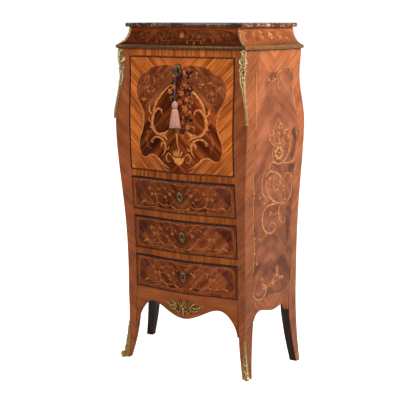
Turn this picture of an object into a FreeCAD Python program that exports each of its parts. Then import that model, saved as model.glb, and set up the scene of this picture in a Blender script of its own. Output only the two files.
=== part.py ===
"""Drop-front writing cabinet (escritoire) with a swelling body, three drawers, a fall front and a marble top.

Lengths are millimetres. X runs to the right seen from the front, Y to the back and Z up. A place in plan is
given by its x and its depth, which is how far it lies in front of the flat back.
"""
import FreeCAD
import Part

import math
import os

Vector = FreeCAD.Vector

# Heights of the front, from the floor up
BASE_HEIGHT = 292.0
DRAWER_COUNT = 3
DRAWER_OPENING = 130.5
RAIL_THICKNESS = 23.0
FALL_OPENING = 429.0
TOP_RAIL_HEIGHT = 25.5
MOULDING_HEIGHT = 14.0
COVE_HEIGHT = 64.0
MARBLE_THICKNESS = 15.0

# Plan of the body at its base
OPENING_HALF_WIDTH = 220.5
POST_WIDTH = 33.5
POST_DEPTH = 38.0
SIDE_FLARE = 72.0
BASE_DEPTH = 285.5
CORNER_FORWARD = 6.0
FRONT_BOW = 18.0
SIDE_BOW = 6.0
REAR_POST_WIDTH = 44.0
REAR_POST_DEPTH = 48.0
SIDE_THICKNESS = 22.0

# Swelling of the body above its base
BELLY_FORWARD = 41.5
BELLY_CORNER_OUT = 22.5
BELLY_BACK_OUT = 23.5
BELLY_ABOVE_FALL_FOOT = 181.0
NECK_BELOW_FALL_HEAD = 65.0
SIDE_NECK_SHARE = 0.03
SIDE_TOP_SHARE = 0.23
FRONT_NECK_SHARE = 0.83
FRONT_TOP_SHARE = 0.86
SIDE_SWELL_LATENESS = 1.64
FRONT_SWELL_LATENESS = 1.12

# Legs
FOOT_SPLAY = 17.5
FOOT_TAPER = 4.0
FOOT_INNER_TAPER = 6.0
FOOT_THINNING = 11.0
REAR_FOOT_INNER_SPLAY = 34.0
REAR_FOOT_FRONT_SPLAY = 26.0
REAR_FOOT_BACK_SPLAY = 21.0
REAR_FOOT_THINNING = 25.0
SPLAY_START = 190.0

# Carcass boards
BACK_THICKNESS = 12.0
BACK_INSET = 6.0
TOP_BOARD_THICKNESS = 18.0
BOTTOM_BOARD_THICKNESS = 18.0
TOP_RAIL_DEPTH = 40.0
APRON_THICKNESS = 20.0
APRON_DROP = 98.0
APRON_ARCH_RISE = 51.0
APRON_ARCH_X = 152.0
APRON_EAR_DROP = 160.0
SIDE_ARCH_RISE = 50.0
SIDE_DROP = 60.0
SIDE_EAR_DROP = 82.0
SIDE_EAR_REACH = 26.0
GUIDE_WIDTH = 13.0
GUIDE_HEIGHT = 18.0

# Cornice
COVE_RECESS_FRONT = 29.0
COVE_RECESS_SIDE = 38.0
COVE_PROJECTION = 4.0
COVE_HOLLOW = 0.7
CORNICE_WALL = 26.0
MOULDING_PROJECTION = 7.5
MOULDING_EDGE = 3.0
MARBLE_OVERHANG = 17.0
MARBLE_CORNER_RADIUS = 14.0
MARBLE_EDGE_RADIUS = 5.0

# Clearances
GAP = 1.2
SLIDE_CLEARANCE = 0.3
JOINT_GAP = 0.3
PIN_CLEARANCE = 0.05
SWEEP_CLEARANCE = 0.8

# Fall front
FALL_EDGE_THICKNESS = 20.0
PIVOT_INSET = 14.0
PIVOT_PIN_RADIUS = 4.0
PIVOT_PLATE_THICKNESS = 3.0
PIVOT_PLATE_LENGTH = 34.0
PIVOT_PLATE_DEPTH = 11.0
LEATHER_MARGIN = 48.0
LEATHER_HEEL_MARGIN = 80.0
LEATHER_HEAD_MARGIN = 90.0
LEATHER_THICKNESS = 1.5

# Locks, key and tassel
LOCK_WIDTH = 56.0
LOCK_THICKNESS = 13.0
LOCK_BELOW_KEY = 22.0
LOCK_WALL = 2.5
DRAWER_LOCK_HEIGHT = 44.0
BOLT_WIDTH = 18.0
BOLT_THICKNESS = 6.0
BOLT_THROW = 8.0
BOLT_CLEARANCE = 0.4
STRIKE_THICKNESS = 2.0
STRIKE_MARGIN = 8.0
KEY_BELOW_FALL_HEAD = 50.0
KEY_SHANK_RADIUS = 3.0
KEY_HOLE_RADIUS = 3.7
KEY_SLOT_WIDTH = 3.6
KEY_SLOT_DROP = 11.5
KEY_BIT_DROP = 10.0
KEY_BIT_THICKNESS = 2.6
KEY_BIT_LENGTH = 4.5
KEY_BOW_RADIUS = 9.5
KEY_BOW_WIRE = 2.2
ESCUTCHEON_HALF_WIDTH = 14.0
ESCUTCHEON_HALF_HEIGHT = 23.0
ESCUTCHEON_THICKNESS = 2.5
LOOP_RADIUS = 5.6
CORD_RADIUS = 1.6
CORD_LENGTH = 102.0
TASSEL_RADIUS = 16.0
TASSEL_HEAD_RADIUS = 10.0
TASSEL_NECK_RADIUS = 6.5
TASSEL_HEAD_LENGTH = 24.0
TASSEL_SKIRT_LENGTH = 71.0
TASSEL_CLEARANCE = 1.5

# Drawers
DRAWER_FRONT_THICKNESS = 20.0
DRAWER_WALL = 10.0
DRAWER_BOTTOM_THICKNESS = 6.0
DRAWER_BOTTOM_RISE = 5.0
DRAWER_TOP_CLEARANCE = 10.0
DRAWER_BACK_CLEARANCE = 10.0

# Pigeonhole nest behind the fall
BED_THICKNESS = 10.0
BED_CLEARANCE = 0.6
NEST_DEPTH = 168.0
NEST_BOARD = 8.0
NEST_DRAWER_OPENING = 72.0
NEST_MIDDLE_HEIGHT = 130.0
NEST_BAY_HALF_WIDTH = 70.0
NEST_DRAWER_WALL = 6.0
NEST_DRAWER_FRONT = 10.0
KNOB_RADIUS = 7.0
KNOB_LENGTH = 13.0

# Gilt mounts
CORNER_MOUNT_LENGTH = 262.0
CORNER_MOUNT_WIDTH = 14.5
CORNER_MOUNT_TAIL_WIDTH = 4.0
CORNER_MOUNT_RELIEF = 5.5
CORNER_MOUNT_DIP = 3.0
CORNER_MOUNT_MIDDLE = 0.27
CORNER_MOUNT_SPREAD = 0.45
COVE_MOUNT_WIDTH = 4.0
COVE_MOUNT_RELIEF = 3.5
APRON_MOUNT_HALF_WIDTH = 82.0
APRON_MOUNT_HEIGHT = 64.0
APRON_MOUNT_RELIEF = 6.0
APRON_MOUNT_ABOVE_EDGE = 13.0
SABOT_HEIGHT = 143.0
SABOT_WIDTH = 18.0
SABOT_TIP_WIDTH = 3.0
SABOT_RELIEF = 4.0
SABOT_TIP_RELIEF = 2.0
SABOT_TOE_REACH = 3.0
SABOT_TOE_RADIUS = 8.0
SABOT_TOE_HEIGHT = 22.0

# Counts of sections that the curved surfaces pass through
BODY_STATIONS = 15
FRONT_POINTS = 13
SIDE_POINTS = 5
COVE_STATIONS = 7
LEG_STATIONS = 5
MOUNT_STATIONS = 9

# Levels
DRAWER_PITCH = DRAWER_OPENING + RAIL_THICKNESS
FALL_FOOT = BASE_HEIGHT + DRAWER_COUNT * DRAWER_PITCH
FALL_HEAD = FALL_FOOT + FALL_OPENING
BODY_TOP = FALL_HEAD + TOP_RAIL_HEIGHT
COVE_FOOT = BODY_TOP + MOULDING_HEIGHT
MARBLE_FOOT = COVE_FOOT + COVE_HEIGHT
HEIGHT = MARBLE_FOOT + MARBLE_THICKNESS
BELLY_LEVEL = FALL_FOOT + BELLY_ABOVE_FALL_FOOT
NECK_LEVEL = FALL_HEAD - NECK_BELOW_FALL_HEAD
KEY_LEVEL = FALL_HEAD - KEY_BELOW_FALL_HEAD
EAR_FOOT = BASE_HEIGHT - APRON_EAR_DROP
SIDE_EAR_FOOT = BASE_HEIGHT - SIDE_EAR_DROP
ENVELOPE_FOOT = BASE_HEIGHT - max(APRON_EAR_DROP, SIDE_EAR_DROP) - RAIL_THICKNESS

# Places in plan
CORNER_BASE = OPENING_HALF_WIDTH + POST_WIDTH
BACK_BASE = CORNER_BASE + SIDE_FLARE
POST_BACK = BASE_DEPTH - POST_DEPTH
BACK_FACE = BACK_INSET + BACK_THICKNESS
REAR_POST_INNER = BACK_BASE - REAR_POST_WIDTH
FAR = 2.0 * HEIGHT


def ease(t):
    """A smooth step from 0 to 1 with no slope at its ends."""
    return (1.0 - math.cos(math.pi * t)) / 2.0


def swell(z, neck_share, top_share, lateness):
    """How far the body has swollen at a height, from 0 at the base to 1 at the belly."""
    if z <= BASE_HEIGHT:
        return 0.0
    if z <= BELLY_LEVEL:
        return ease(((z - BASE_HEIGHT) / (BELLY_LEVEL - BASE_HEIGHT)) ** lateness)
    if z <= NECK_LEVEL:
        return 1.0 + (neck_share - 1.0) * ease((z - BELLY_LEVEL) / (NECK_LEVEL - BELLY_LEVEL))
    return neck_share + (top_share - neck_share) * ease(min(1.0, (z - NECK_LEVEL) / (BODY_TOP - NECK_LEVEL)))


def edge_depth(z):
    """Depth of the front where the posts meet the drawers and the fall."""
    return BASE_DEPTH + BELLY_FORWARD * swell(z, FRONT_NECK_SHARE, FRONT_TOP_SHARE, FRONT_SWELL_LATENESS)


def side_swell(z):
    return swell(z, SIDE_NECK_SHARE, SIDE_TOP_SHARE, SIDE_SWELL_LATENESS)


def corner_x(z):
    return CORNER_BASE + BELLY_CORNER_OUT * side_swell(z)


def corner_depth(z):
    return edge_depth(z) + CORNER_FORWARD


def back_x(z):
    return BACK_BASE + BELLY_BACK_OUT * side_swell(z)


def front_depth(x, z):
    """Depth of the serpentine front at any x and height."""
    reach = abs(x)
    if reach <= OPENING_HALF_WIDTH:
        return edge_depth(z) + FRONT_BOW * ease(1.0 - reach / OPENING_HALF_WIDTH)
    share = (reach - OPENING_HALF_WIDTH) / (corner_x(z) - OPENING_HALF_WIDTH)
    return edge_depth(z) + CORNER_FORWARD * share ** 2


def side_x(depth, z):
    """Half width of the body at a depth and height: the sides flare to the back and bow a little."""
    share = depth / corner_depth(z)
    return back_x(z) + (corner_x(z) - back_x(z)) * share + 4.0 * SIDE_BOW * share * (1.0 - share)


def side_inner_x(depth):
    """Half width between the flat inner faces of the sides."""
    return side_x(depth, BASE_HEIGHT) - SIDE_THICKNESS


# The tassel hangs clear of the belly, which sets how far the key stands out
TASSEL_DEPTH = front_depth(0.0, BELLY_LEVEL) + TASSEL_RADIUS + TASSEL_CLEARANCE
KEY_SHANK_END = TASSEL_DEPTH + CORD_RADIUS + 2.0 * CORD_RADIUS
KEY_BOW_DEPTH = KEY_SHANK_END + KEY_BOW_RADIUS
OVERALL_DEPTH = KEY_BOW_DEPTH + KEY_BOW_RADIUS + KEY_BOW_WIRE
ORIGIN_DEPTH = OVERALL_DEPTH / 2.0

# The fall turns on two pins low in its ends, high enough for its bowed front to pass over the rail
FALL_BACK = edge_depth(FALL_FOOT) - FALL_EDGE_THICKNESS
PIVOT_DEPTH = FALL_BACK + PIVOT_INSET
HEEL_REACH = front_depth(0.0, FALL_FOOT) - PIVOT_DEPTH
PIVOT_LEVEL = FALL_FOOT + front_depth(0.0, FALL_FOOT + 2.0 * HEEL_REACH) - PIVOT_DEPTH + 2.0 * GAP
FALL_HALF_WIDTH = OPENING_HALF_WIDTH - GAP
BED_FOOT = PIVOT_LEVEL + PIVOT_INSET + BED_CLEARANCE
BED_TOP = BED_FOOT + BED_THICKNESS
TOP_BOARD_FOOT = BODY_TOP - TOP_BOARD_THICKNESS
NEST_FRONT = BACK_FACE + NEST_DEPTH
NEST_SHELF_FOOT = BED_TOP + NEST_DRAWER_OPENING
NEST_HALF_WIDTH = OPENING_HALF_WIDTH - NEST_BOARD


def point(x, depth, z):
    return Vector(x, ORIGIN_DEPTH - depth, z)


def block(x0, x1, depth0, depth1, z0, z1):
    """A box between two x, two depths and two heights."""
    return Part.makeBox(x1 - x0, depth1 - depth0, z1 - z0, point(x0, depth1, z0))


def prism(outline, z0, z1):
    """A plan outline of (x, depth) corners, raised from z0 to z1."""
    corners = [point(x, depth, z0) for x, depth in outline]
    return Part.Face(Part.makePolygon(corners + corners[:1])).extrude(Vector(0, 0, z1 - z0))


def curve(points):
    spline = Part.BSplineCurve()
    spline.interpolate(points)
    return spline.toShape()


def rod(x, depth, z, radius, length, direction):
    return Part.makeCylinder(radius, length, point(x, depth, z), direction)


def mirrored(shape):
    return shape.mirror(Vector(0, 0, 0), Vector(1, 0, 0))


def joined(shapes):
    whole = shapes[0].fuse(shapes[1:])
    return whole.removeSplitter()


def section_loft(sections):
    """A solid through straight-sided closed sections, smooth from one to the next."""
    return Part.makeLoft([Part.makePolygon(corners + corners[:1]) for corners in sections], True, False)


def spaced(start, end, count):
    return [start + (end - start) * i / (count - 1) for i in range(count)]


def plan_wire(z, corner, back, front_of):
    """A closed plan outline at a height: bowed front, two sides and a straight back.

    corner is the (x, depth) of the front corner, back the half width at the back, and front_of gives the
    depth of the front at any x.
    """
    corner_half, corner_reach = corner
    front = [point(x, front_of(x), z) for x in spaced(-corner_half, corner_half, FRONT_POINTS)]
    right = []
    for share in spaced(1.0, 0.0, SIDE_POINTS):
        x = back + (corner_half - back) * share + 4.0 * SIDE_BOW * share * (1.0 - share)
        right.append(point(x, corner_reach * share, z))
    left = [Vector(-p.x, p.y, p.z) for p in reversed(right)]
    edges = [curve(front), curve(right), Part.LineSegment(right[-1], left[0]).toShape(), curve(left)]
    return Part.Wire(edges)


def body_wire(z):
    corner = (corner_x(z), corner_depth(z))
    return plan_wire(z, corner, back_x(z), lambda x: front_depth(x, z))


def body_envelope():
    """The whole outside of the body as one block, from which the front, posts and sides are cut."""
    levels = spaced(ENVELOPE_FOOT, BASE_HEIGHT, 3)
    levels += spaced(BASE_HEIGHT, BODY_TOP, BODY_STATIONS)[1:]
    return Part.makeLoft([body_wire(z) for z in levels], True, False)


ENVELOPE = body_envelope()


def cut_from_body(x0, x1, depth0, z0, z1):
    """The part of the body in front of a depth, between two x and two heights."""
    return ENVELOPE.common(block(x0, x1, depth0, FAR, z0, z1))


def front_leg():
    """The splayed leg under the right front post."""
    side_run = front_leg_side_run()
    sections = []
    for z in (0.0, SPLAY_START / 4, SPLAY_START / 2, SPLAY_START, SIDE_EAR_FOOT, BASE_HEIGHT):
        down = 1.0 - z / BASE_HEIGHT
        splay = FOOT_SPLAY * max(0.0, 1.0 - z / SPLAY_START) ** 2
        taper = FOOT_TAPER * down
        inner = OPENING_HALF_WIDTH + splay + taper + FOOT_INNER_TAPER * down ** 2
        thinning = FOOT_THINNING * below_side(z)
        back = POST_BACK + splay + taper + thinning
        sections.append([
            point(inner, BASE_DEPTH + splay - taper, z),
            point(CORNER_BASE + splay - taper, BASE_DEPTH + CORNER_FORWARD + splay - taper, z),
            point(side_x(POST_BACK, BASE_HEIGHT) + splay - taper - side_run * thinning, back, z),
            point(inner, back, z),
        ])
    # The curve is planed off flat where the side stands against the leg
    return section_loft(sections).cut(block(0.0, FAR, 0.0, POST_BACK, SIDE_EAR_FOOT, BASE_HEIGHT))


def below_side(z):
    """How far a height lies below the ears of the side, from 0 at their feet to 1 at the floor."""
    return max(0.0, 1.0 - z / SIDE_EAR_FOOT)


def front_leg_side_run():
    """How far the outer face of the front leg moves out for each step to the back."""
    return (side_x(POST_BACK, BASE_HEIGHT) - CORNER_BASE) / (POST_DEPTH + CORNER_FORWARD)


def front_post():
    """The right front post and its leg, in one length of wood, mortised for the pivot plate."""
    post = cut_from_body(OPENING_HALF_WIDTH, FAR, POST_BACK, BASE_HEIGHT, BODY_TOP)
    return joined([post, front_leg()]).cut(pivot_plate_blank())


def rear_leg():
    """The leg under the right rear post, which curves out and grows thinner to the floor."""
    sections = []
    for z in spaced(0.0, SIDE_EAR_FOOT, LEG_STATIONS) + [BASE_HEIGHT]:
        down = 1.0 - z / BASE_HEIGHT
        curve_out = down ** 2
        inner = REAR_POST_INNER + REAR_FOOT_INNER_SPLAY * curve_out
        front = REAR_POST_DEPTH - REAR_FOOT_THINNING * below_side(z)
        sections.append([
            point(inner, front, z),
            point(side_x(REAR_POST_DEPTH, BASE_HEIGHT) + REAR_FOOT_FRONT_SPLAY * curve_out, front, z),
            point(BACK_BASE + REAR_FOOT_BACK_SPLAY * curve_out, 0.0, z),
            point(inner, 0.0, z),
        ])
    # The curve is planed off flat where the side stands against the leg
    return section_loft(sections).cut(block(0.0, FAR, REAR_POST_DEPTH, FAR, SIDE_EAR_FOOT, BASE_HEIGHT))


def rear_post():
    """The right rear post and its leg."""
    post = ENVELOPE.common(block(REAR_POST_INNER, FAR, 0.0, REAR_POST_DEPTH, BASE_HEIGHT, BODY_TOP))
    return joined([post, rear_leg()])


def side_panel():
    """The right side, swelling outside and flat inside, with a waved lower edge."""
    front, rear = POST_BACK - JOINT_GAP, REAR_POST_DEPTH + JOINT_GAP
    outline = [(side_inner_x(front), front), (FAR, front), (FAR, rear), (side_inner_x(rear), rear)]
    panel = ENVELOPE.common(prism(outline, ENVELOPE_FOOT, BODY_TOP))
    middle = (front + rear) / 2.0
    wave = []
    for depth, drop in (
        (front + JOINT_GAP, SIDE_EAR_DROP),
        (front - SIDE_EAR_REACH, SIDE_ARCH_RISE),
        (middle, SIDE_DROP),
        (rear + SIDE_EAR_REACH, SIDE_ARCH_RISE),
        (rear - JOINT_GAP, SIDE_EAR_DROP),
    ):
        wave.append(point(0.0, depth, BASE_HEIGHT - drop))
    low = [point(0.0, rear - JOINT_GAP, 0.0), point(0.0, front + JOINT_GAP, 0.0)]
    edges = [curve(wave)]
    for start, end in ((wave[-1], low[0]), (low[0], low[1]), (low[1], wave[0])):
        edges.append(Part.LineSegment(start, end).toShape())
    return panel.cut(Part.Face(Part.Wire(edges)).extrude(Vector(FAR, 0, 0)))


def back_panel():
    """The back, which runs up behind the cornice between its flared walls."""
    foot = BASE_HEIGHT - BOTTOM_BOARD_THICKNESS
    panel = block(-REAR_POST_INNER, REAR_POST_INNER, BACK_INSET, BACK_FACE, foot, BODY_TOP)
    outline = [(cove_inner_x(depth), depth) for depth in (BACK_INSET, BACK_FACE)]
    outline += [(-x, depth) for x, depth in reversed(outline)]
    return joined([panel, prism(outline, BODY_TOP, MARBLE_FOOT)])


def carcass_board(z0, z1, front_part):
    """A board across the carcass: between the posts in front, and out to the sides behind them."""
    rear = [(side_inner_x(POST_BACK), POST_BACK), (side_inner_x(REAR_POST_DEPTH), REAR_POST_DEPTH)]
    rear += [(REAR_POST_INNER, REAR_POST_DEPTH), (REAR_POST_INNER, BACK_FACE)]
    rear += [(-x, depth) for x, depth in reversed(rear)]
    return joined([prism(rear, z0, z1), front_part])


def rail_board(z0, z1):
    """A board whose front edge shows as a rail between the posts."""
    rail = cut_from_body(-OPENING_HALF_WIDTH, OPENING_HALF_WIDTH, POST_BACK, z0, z1)
    return carcass_board(z0, z1, rail)


def desk_floor():
    """The board under the fall, hollowed along its front where the heel of the fall swings in."""
    board = rail_board(FALL_FOOT - RAIL_THICKNESS, FALL_FOOT)
    half = OPENING_HALF_WIDTH + GAP
    blank = ENVELOPE.common(block(-half, half, FALL_BACK - GAP, FAR, FALL_FOOT + GAP, FALL_HEAD))
    heel = min(blank.Faces, key=lambda face: face.CenterOfMass.z)
    heel = heel.translated(Vector(0, -SWEEP_CLEARANCE, -SWEEP_CLEARANCE))
    sweep = heel.revolve(point(0.0, PIVOT_DEPTH, PIVOT_LEVEL), Vector(1, 0, 0), 90.0)
    return board.cut(sweep)


def drawer_divider(index):
    """The board between a drawer and the next one up."""
    top = BASE_HEIGHT + (index + 1) * DRAWER_PITCH
    return rail_board(top - RAIL_THICKNESS, top)


def bottom_board():
    z0, z1 = BASE_HEIGHT - BOTTOM_BOARD_THICKNESS, BASE_HEIGHT
    apron_back = BASE_DEPTH - APRON_THICKNESS
    front = block(-OPENING_HALF_WIDTH, OPENING_HALF_WIDTH, POST_BACK, apron_back, z0, z1)
    return carcass_board(z0, z1, front)


def top_rail():
    """The rail over the fall, mortised for the lock bolt and its strike plate."""
    rail_back = edge_depth(BODY_TOP) - TOP_RAIL_DEPTH
    rail = cut_from_body(-OPENING_HALF_WIDTH, OPENING_HALF_WIDTH, rail_back, FALL_HEAD, BODY_TOP)
    return rail.cut(strike_blank()).cut(bolt_channel(FALL_HEAD, FALL_HEAD + BOLT_THROW + STRIKE_THICKNESS))


def top_board():
    z0, z1 = TOP_BOARD_FOOT, BODY_TOP
    rail_back = edge_depth(BODY_TOP) - TOP_RAIL_DEPTH
    front = block(-OPENING_HALF_WIDTH, OPENING_HALF_WIDTH, POST_BACK, rail_back, z0, z1)
    return carcass_board(z0, z1, front)


def apron():
    """The shaped rail under the lowest drawer, with ears that run down beside the legs."""
    half = OPENING_HALF_WIDTH - JOINT_GAP
    blank = cut_from_body(-half, half, BASE_DEPTH - APRON_THICKNESS, EAR_FOOT, BASE_HEIGHT)
    arch = BASE_HEIGHT - APRON_ARCH_RISE
    drop = BASE_HEIGHT - APRON_DROP
    knee_x, knee = (half + APRON_ARCH_X) / 2.0, (EAR_FOOT + 2.0 * arch) / 3.0
    waist_x, waist = APRON_ARCH_X / 2.0, (arch + drop) / 2.0
    right = [(half + JOINT_GAP, EAR_FOOT), (knee_x + (half - knee_x) / 3.0, knee)]
    right += [(APRON_ARCH_X, arch), (waist_x, waist)]
    wave = right + [(0.0, drop)] + [(-x, z) for x, z in reversed(right)]
    edges = [curve([point(x, 0.0, z) for x, z in wave])]
    edges.append(Part.LineSegment(point(*low_end(-1)), point(*low_end(1))).toShape())
    return blank.cut(Part.Face(Part.Wire(edges)).extrude(Vector(0, -FAR, 0)))


def low_end(side):
    """The foot of an ear of the apron, where its curve starts."""
    return (side * OPENING_HALF_WIDTH, 0.0, EAR_FOOT)


def drawer_guides():
    """Strips beside the drawers, fixed to the boards behind the posts."""
    strips = []
    for index in range(DRAWER_COUNT):
        foot = BASE_HEIGHT + index * DRAWER_PITCH
        x0 = OPENING_HALF_WIDTH
        strip = block(x0, x0 + GUIDE_WIDTH, REAR_POST_DEPTH, POST_BACK, foot, foot + GUIDE_HEIGHT)
        strips += [strip, mirrored(strip)]
    return Part.makeCompound(strips)


def cornice_wire(z, recess_front, recess_side, extra):
    """Plan outline of the cornice, which follows the top of the body."""
    corner = (corner_x(BODY_TOP) + extra - recess_side, corner_depth(BODY_TOP) + extra - recess_front)
    back = back_x(BODY_TOP) + extra - recess_side
    spread = corner_x(BODY_TOP) / corner[0]
    return plan_wire(z, corner, back, lambda x: front_depth(x * spread, BODY_TOP) + extra - recess_front)


def cove_share(z):
    """How much of its recess the hollow frieze has reached at a height, from 0 at its foot to 1 at its head."""
    return math.sin(math.pi / 2.0 * ((z - COVE_FOOT) / COVE_HEIGHT) ** COVE_HOLLOW)


def cove_wire(z):
    """Outline of the hollow frieze: it leans in from the moulding and stands upright under the marble."""
    share = cove_share(z)
    return cornice_wire(z, COVE_RECESS_FRONT * share, COVE_RECESS_SIDE * share, COVE_PROJECTION)


def plan_slab(wire, thickness):
    return Part.Face(wire).extrude(Vector(0, 0, thickness))


def cornice():
    """The hollow frieze round three sides, before it is cut into its mitred lengths."""
    base = plan_slab(cornice_wire(BODY_TOP, 0.0, 0.0, COVE_PROJECTION), MOULDING_HEIGHT)
    cove = Part.makeLoft([cove_wire(z) for z in spaced(COVE_FOOT, MARBLE_FOOT, COVE_STATIONS)], True, False)
    inside = [(cove_inner_x(depth), depth) for depth in (-CORNICE_WALL, cove_inner_depth())]
    inside += [(-x, depth) for x, depth in reversed(inside)]
    return joined([base, cove]).cut(prism(inside, BODY_TOP, MARBLE_FOOT))


def cove_inner_depth():
    return edge_depth(BODY_TOP) - COVE_RECESS_FRONT - CORNICE_WALL


def cove_inner_x(depth):
    """Half width of the cornice's hollow, whose walls flare like the sides."""
    top_back = back_x(BODY_TOP) - COVE_RECESS_SIDE - CORNICE_WALL
    flare = (back_x(BODY_TOP) - corner_x(BODY_TOP)) / corner_depth(BODY_TOP)
    return top_back - flare * depth


def mitre_prism(z0, z1):
    """The plan region in front of the two mitre lines, which follow the receding front corners."""
    x0, depth0 = corner_x(BODY_TOP), corner_depth(BODY_TOP)
    run = COVE_RECESS_SIDE / COVE_RECESS_FRONT
    half_at = [(x0 + run * (depth - depth0), depth) for depth in (BASE_DEPTH / 2.0, BASE_DEPTH * 2.0)]
    outline = half_at + [(-x, depth) for x, depth in reversed(half_at)]
    return prism(outline, z0, z1)


def mitred(ring, z0, z1):
    """A ring round three sides as its front length, right length and left length."""
    region = mitre_prism(z0, z1)
    sides = ring.cut(region)
    right = sides.common(block(0.0, FAR, -FAR, FAR, z0, z1))
    return ring.common(region), right, mirrored(right)


def moulding():
    """The gilt strip under the frieze, in three mitred lengths."""
    levels = ((BODY_TOP, MOULDING_EDGE), (BODY_TOP + MOULDING_HEIGHT / 2.0, MOULDING_PROJECTION))
    levels += ((COVE_FOOT, MOULDING_EDGE),)
    wires = [cornice_wire(z, 0.0, 0.0, COVE_PROJECTION + extra) for z, extra in levels]
    core = plan_slab(cornice_wire(BODY_TOP, 0.0, 0.0, COVE_PROJECTION), MOULDING_HEIGHT)
    ring = Part.makeLoft(wires, True, False).cut(core)
    ring = ring.cut(block(-FAR, FAR, -FAR, 0.0, BODY_TOP, COVE_FOOT))
    return Part.makeCompound(mitred(ring, BODY_TOP, COVE_FOOT))


def marble_top():
    """The marble slab, with rounded front corners and a rounded edge."""
    extra = COVE_PROJECTION + MARBLE_OVERHANG
    wire = cornice_wire(MARBLE_FOOT, COVE_RECESS_FRONT, COVE_RECESS_SIDE, extra)
    slab = plan_slab(wire, MARBLE_THICKNESS)
    rim = [edge for edge in slab.Edges if is_upright(edge) and edge.CenterOfMass.y < 0.0]
    slab = slab.makeFillet(MARBLE_CORNER_RADIUS, rim)
    back = max(vertex.Y for vertex in slab.Vertexes)
    round_edges = []
    for face in slab.Faces:
        if abs(face.normalAt(0, 0).z) > 0.9:
            round_edges += [edge for edge in face.Edges if edge.CenterOfMass.y < back - GAP]
    return slab.makeFillet(MARBLE_EDGE_RADIUS, round_edges)


def is_upright(edge):
    box = edge.BoundBox
    return box.ZLength > max(box.XLength, box.YLength)


def pivot_plate_blank():
    """The space of the right pivot plate in its post."""
    depth0 = PIVOT_DEPTH - PIVOT_PLATE_DEPTH / 2.0
    foot = PIVOT_LEVEL - PIVOT_PLATE_LENGTH / 2.0
    x0 = OPENING_HALF_WIDTH
    x1 = x0 + PIVOT_PLATE_THICKNESS
    return block(x0, x1, depth0, depth0 + PIVOT_PLATE_DEPTH, foot, foot + PIVOT_PLATE_LENGTH)


def pivot_plates():
    """Brass plates let into the posts, each with a hole for the fall's pin."""
    hole_radius = PIVOT_PIN_RADIUS + PIN_CLEARANCE
    hole = rod(0.0, PIVOT_DEPTH, PIVOT_LEVEL, hole_radius, FAR, Vector(1, 0, 0))
    plate = pivot_plate_blank().cut(hole)
    return Part.makeCompound([plate, mirrored(plate)])


def fall_pivot_blank():
    """The space of the right pin's plate in the end of the fall."""
    depth0 = PIVOT_DEPTH - PIVOT_PLATE_DEPTH / 2.0
    foot = PIVOT_LEVEL - PIVOT_PLATE_LENGTH / 2.0
    x0 = FALL_HALF_WIDTH - PIVOT_PLATE_THICKNESS
    return block(x0, FALL_HALF_WIDTH, depth0, depth0 + PIVOT_PLATE_DEPTH, foot, foot + PIVOT_PLATE_LENGTH)


def fall_pivots():
    """Brass plates let into the ends of the fall, each with its pin."""
    length = GAP + PIVOT_PLATE_THICKNESS - PIN_CLEARANCE
    pin = rod(FALL_HALF_WIDTH, PIVOT_DEPTH, PIVOT_LEVEL, PIVOT_PIN_RADIUS, length, Vector(1, 0, 0))
    pivot = joined([fall_pivot_blank(), pin])
    return Part.makeCompound([pivot, mirrored(pivot)])


def keyhole(z):
    """A keyhole through everything along Y: a round hole with a slot under it."""
    hole = Part.makeCylinder(KEY_HOLE_RADIUS, FAR, Vector(0, -FAR / 2.0, z), Vector(0, 1, 0))
    slot = block(-KEY_SLOT_WIDTH / 2.0, KEY_SLOT_WIDTH / 2.0, -FAR, FAR, z - KEY_SLOT_DROP, z)
    return joined([hole, slot])


def bolt_channel(z0, z1):
    """The way that the fall's lock bolt runs in, with its clearance."""
    half = BOLT_WIDTH / 2.0 + BOLT_CLEARANCE
    depth0, depth1 = bolt_depths()
    return block(-half, half, depth0 - BOLT_CLEARANCE, depth1 + BOLT_CLEARANCE, z0, z1)


def bolt_depths():
    middle = FALL_BACK + LOCK_THICKNESS / 2.0
    return middle - BOLT_THICKNESS / 2.0, middle + BOLT_THICKNESS / 2.0


def bolt_levels():
    """Foot and head of the bolt when it is drawn back."""
    return KEY_LEVEL + KEY_BIT_DROP + 2.0 * LOCK_WALL, FALL_HEAD - 2.0 * GAP


def strike_blank():
    half = BOLT_WIDTH / 2.0 + STRIKE_MARGIN
    depth0, depth1 = bolt_depths()
    front = min(depth1 + STRIKE_MARGIN, edge_depth(FALL_HEAD))
    return block(-half, half, depth0 - STRIKE_MARGIN, front, FALL_HEAD, FALL_HEAD + STRIKE_THICKNESS)


def strike_plate():
    return strike_blank().cut(bolt_channel(FALL_HEAD, BODY_TOP))


def lock_blank():
    """The space of the fall's lock, let into its inner face."""
    half = LOCK_WIDTH / 2.0
    foot = KEY_LEVEL - LOCK_BELOW_KEY
    return block(-half, half, FALL_BACK, FALL_BACK + LOCK_THICKNESS, foot, FALL_HEAD - GAP)


def fall_lock():
    """The lock case: a box with a chamber for the key's bit and a channel for the bolt."""
    chamber = rod(0.0, FALL_BACK + LOCK_THICKNESS - LOCK_WALL, KEY_LEVEL, KEY_BIT_DROP + LOCK_WALL,
                  LOCK_THICKNESS - 2.0 * LOCK_WALL, Vector(0, 1, 0))
    opening = keyhole(KEY_LEVEL).common(block(-FAR, FAR, FALL_BACK + LOCK_WALL, FAR, 0.0, FAR))
    foot = bolt_levels()[0]
    return lock_blank().cut(chamber).cut(opening).cut(bolt_channel(foot - BOLT_CLEARANCE, FALL_HEAD))


def lock_bolt():
    foot, head = bolt_levels()
    depth0, depth1 = bolt_depths()
    return block(-BOLT_WIDTH / 2.0, BOLT_WIDTH / 2.0, depth0, depth1, foot, head)


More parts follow.
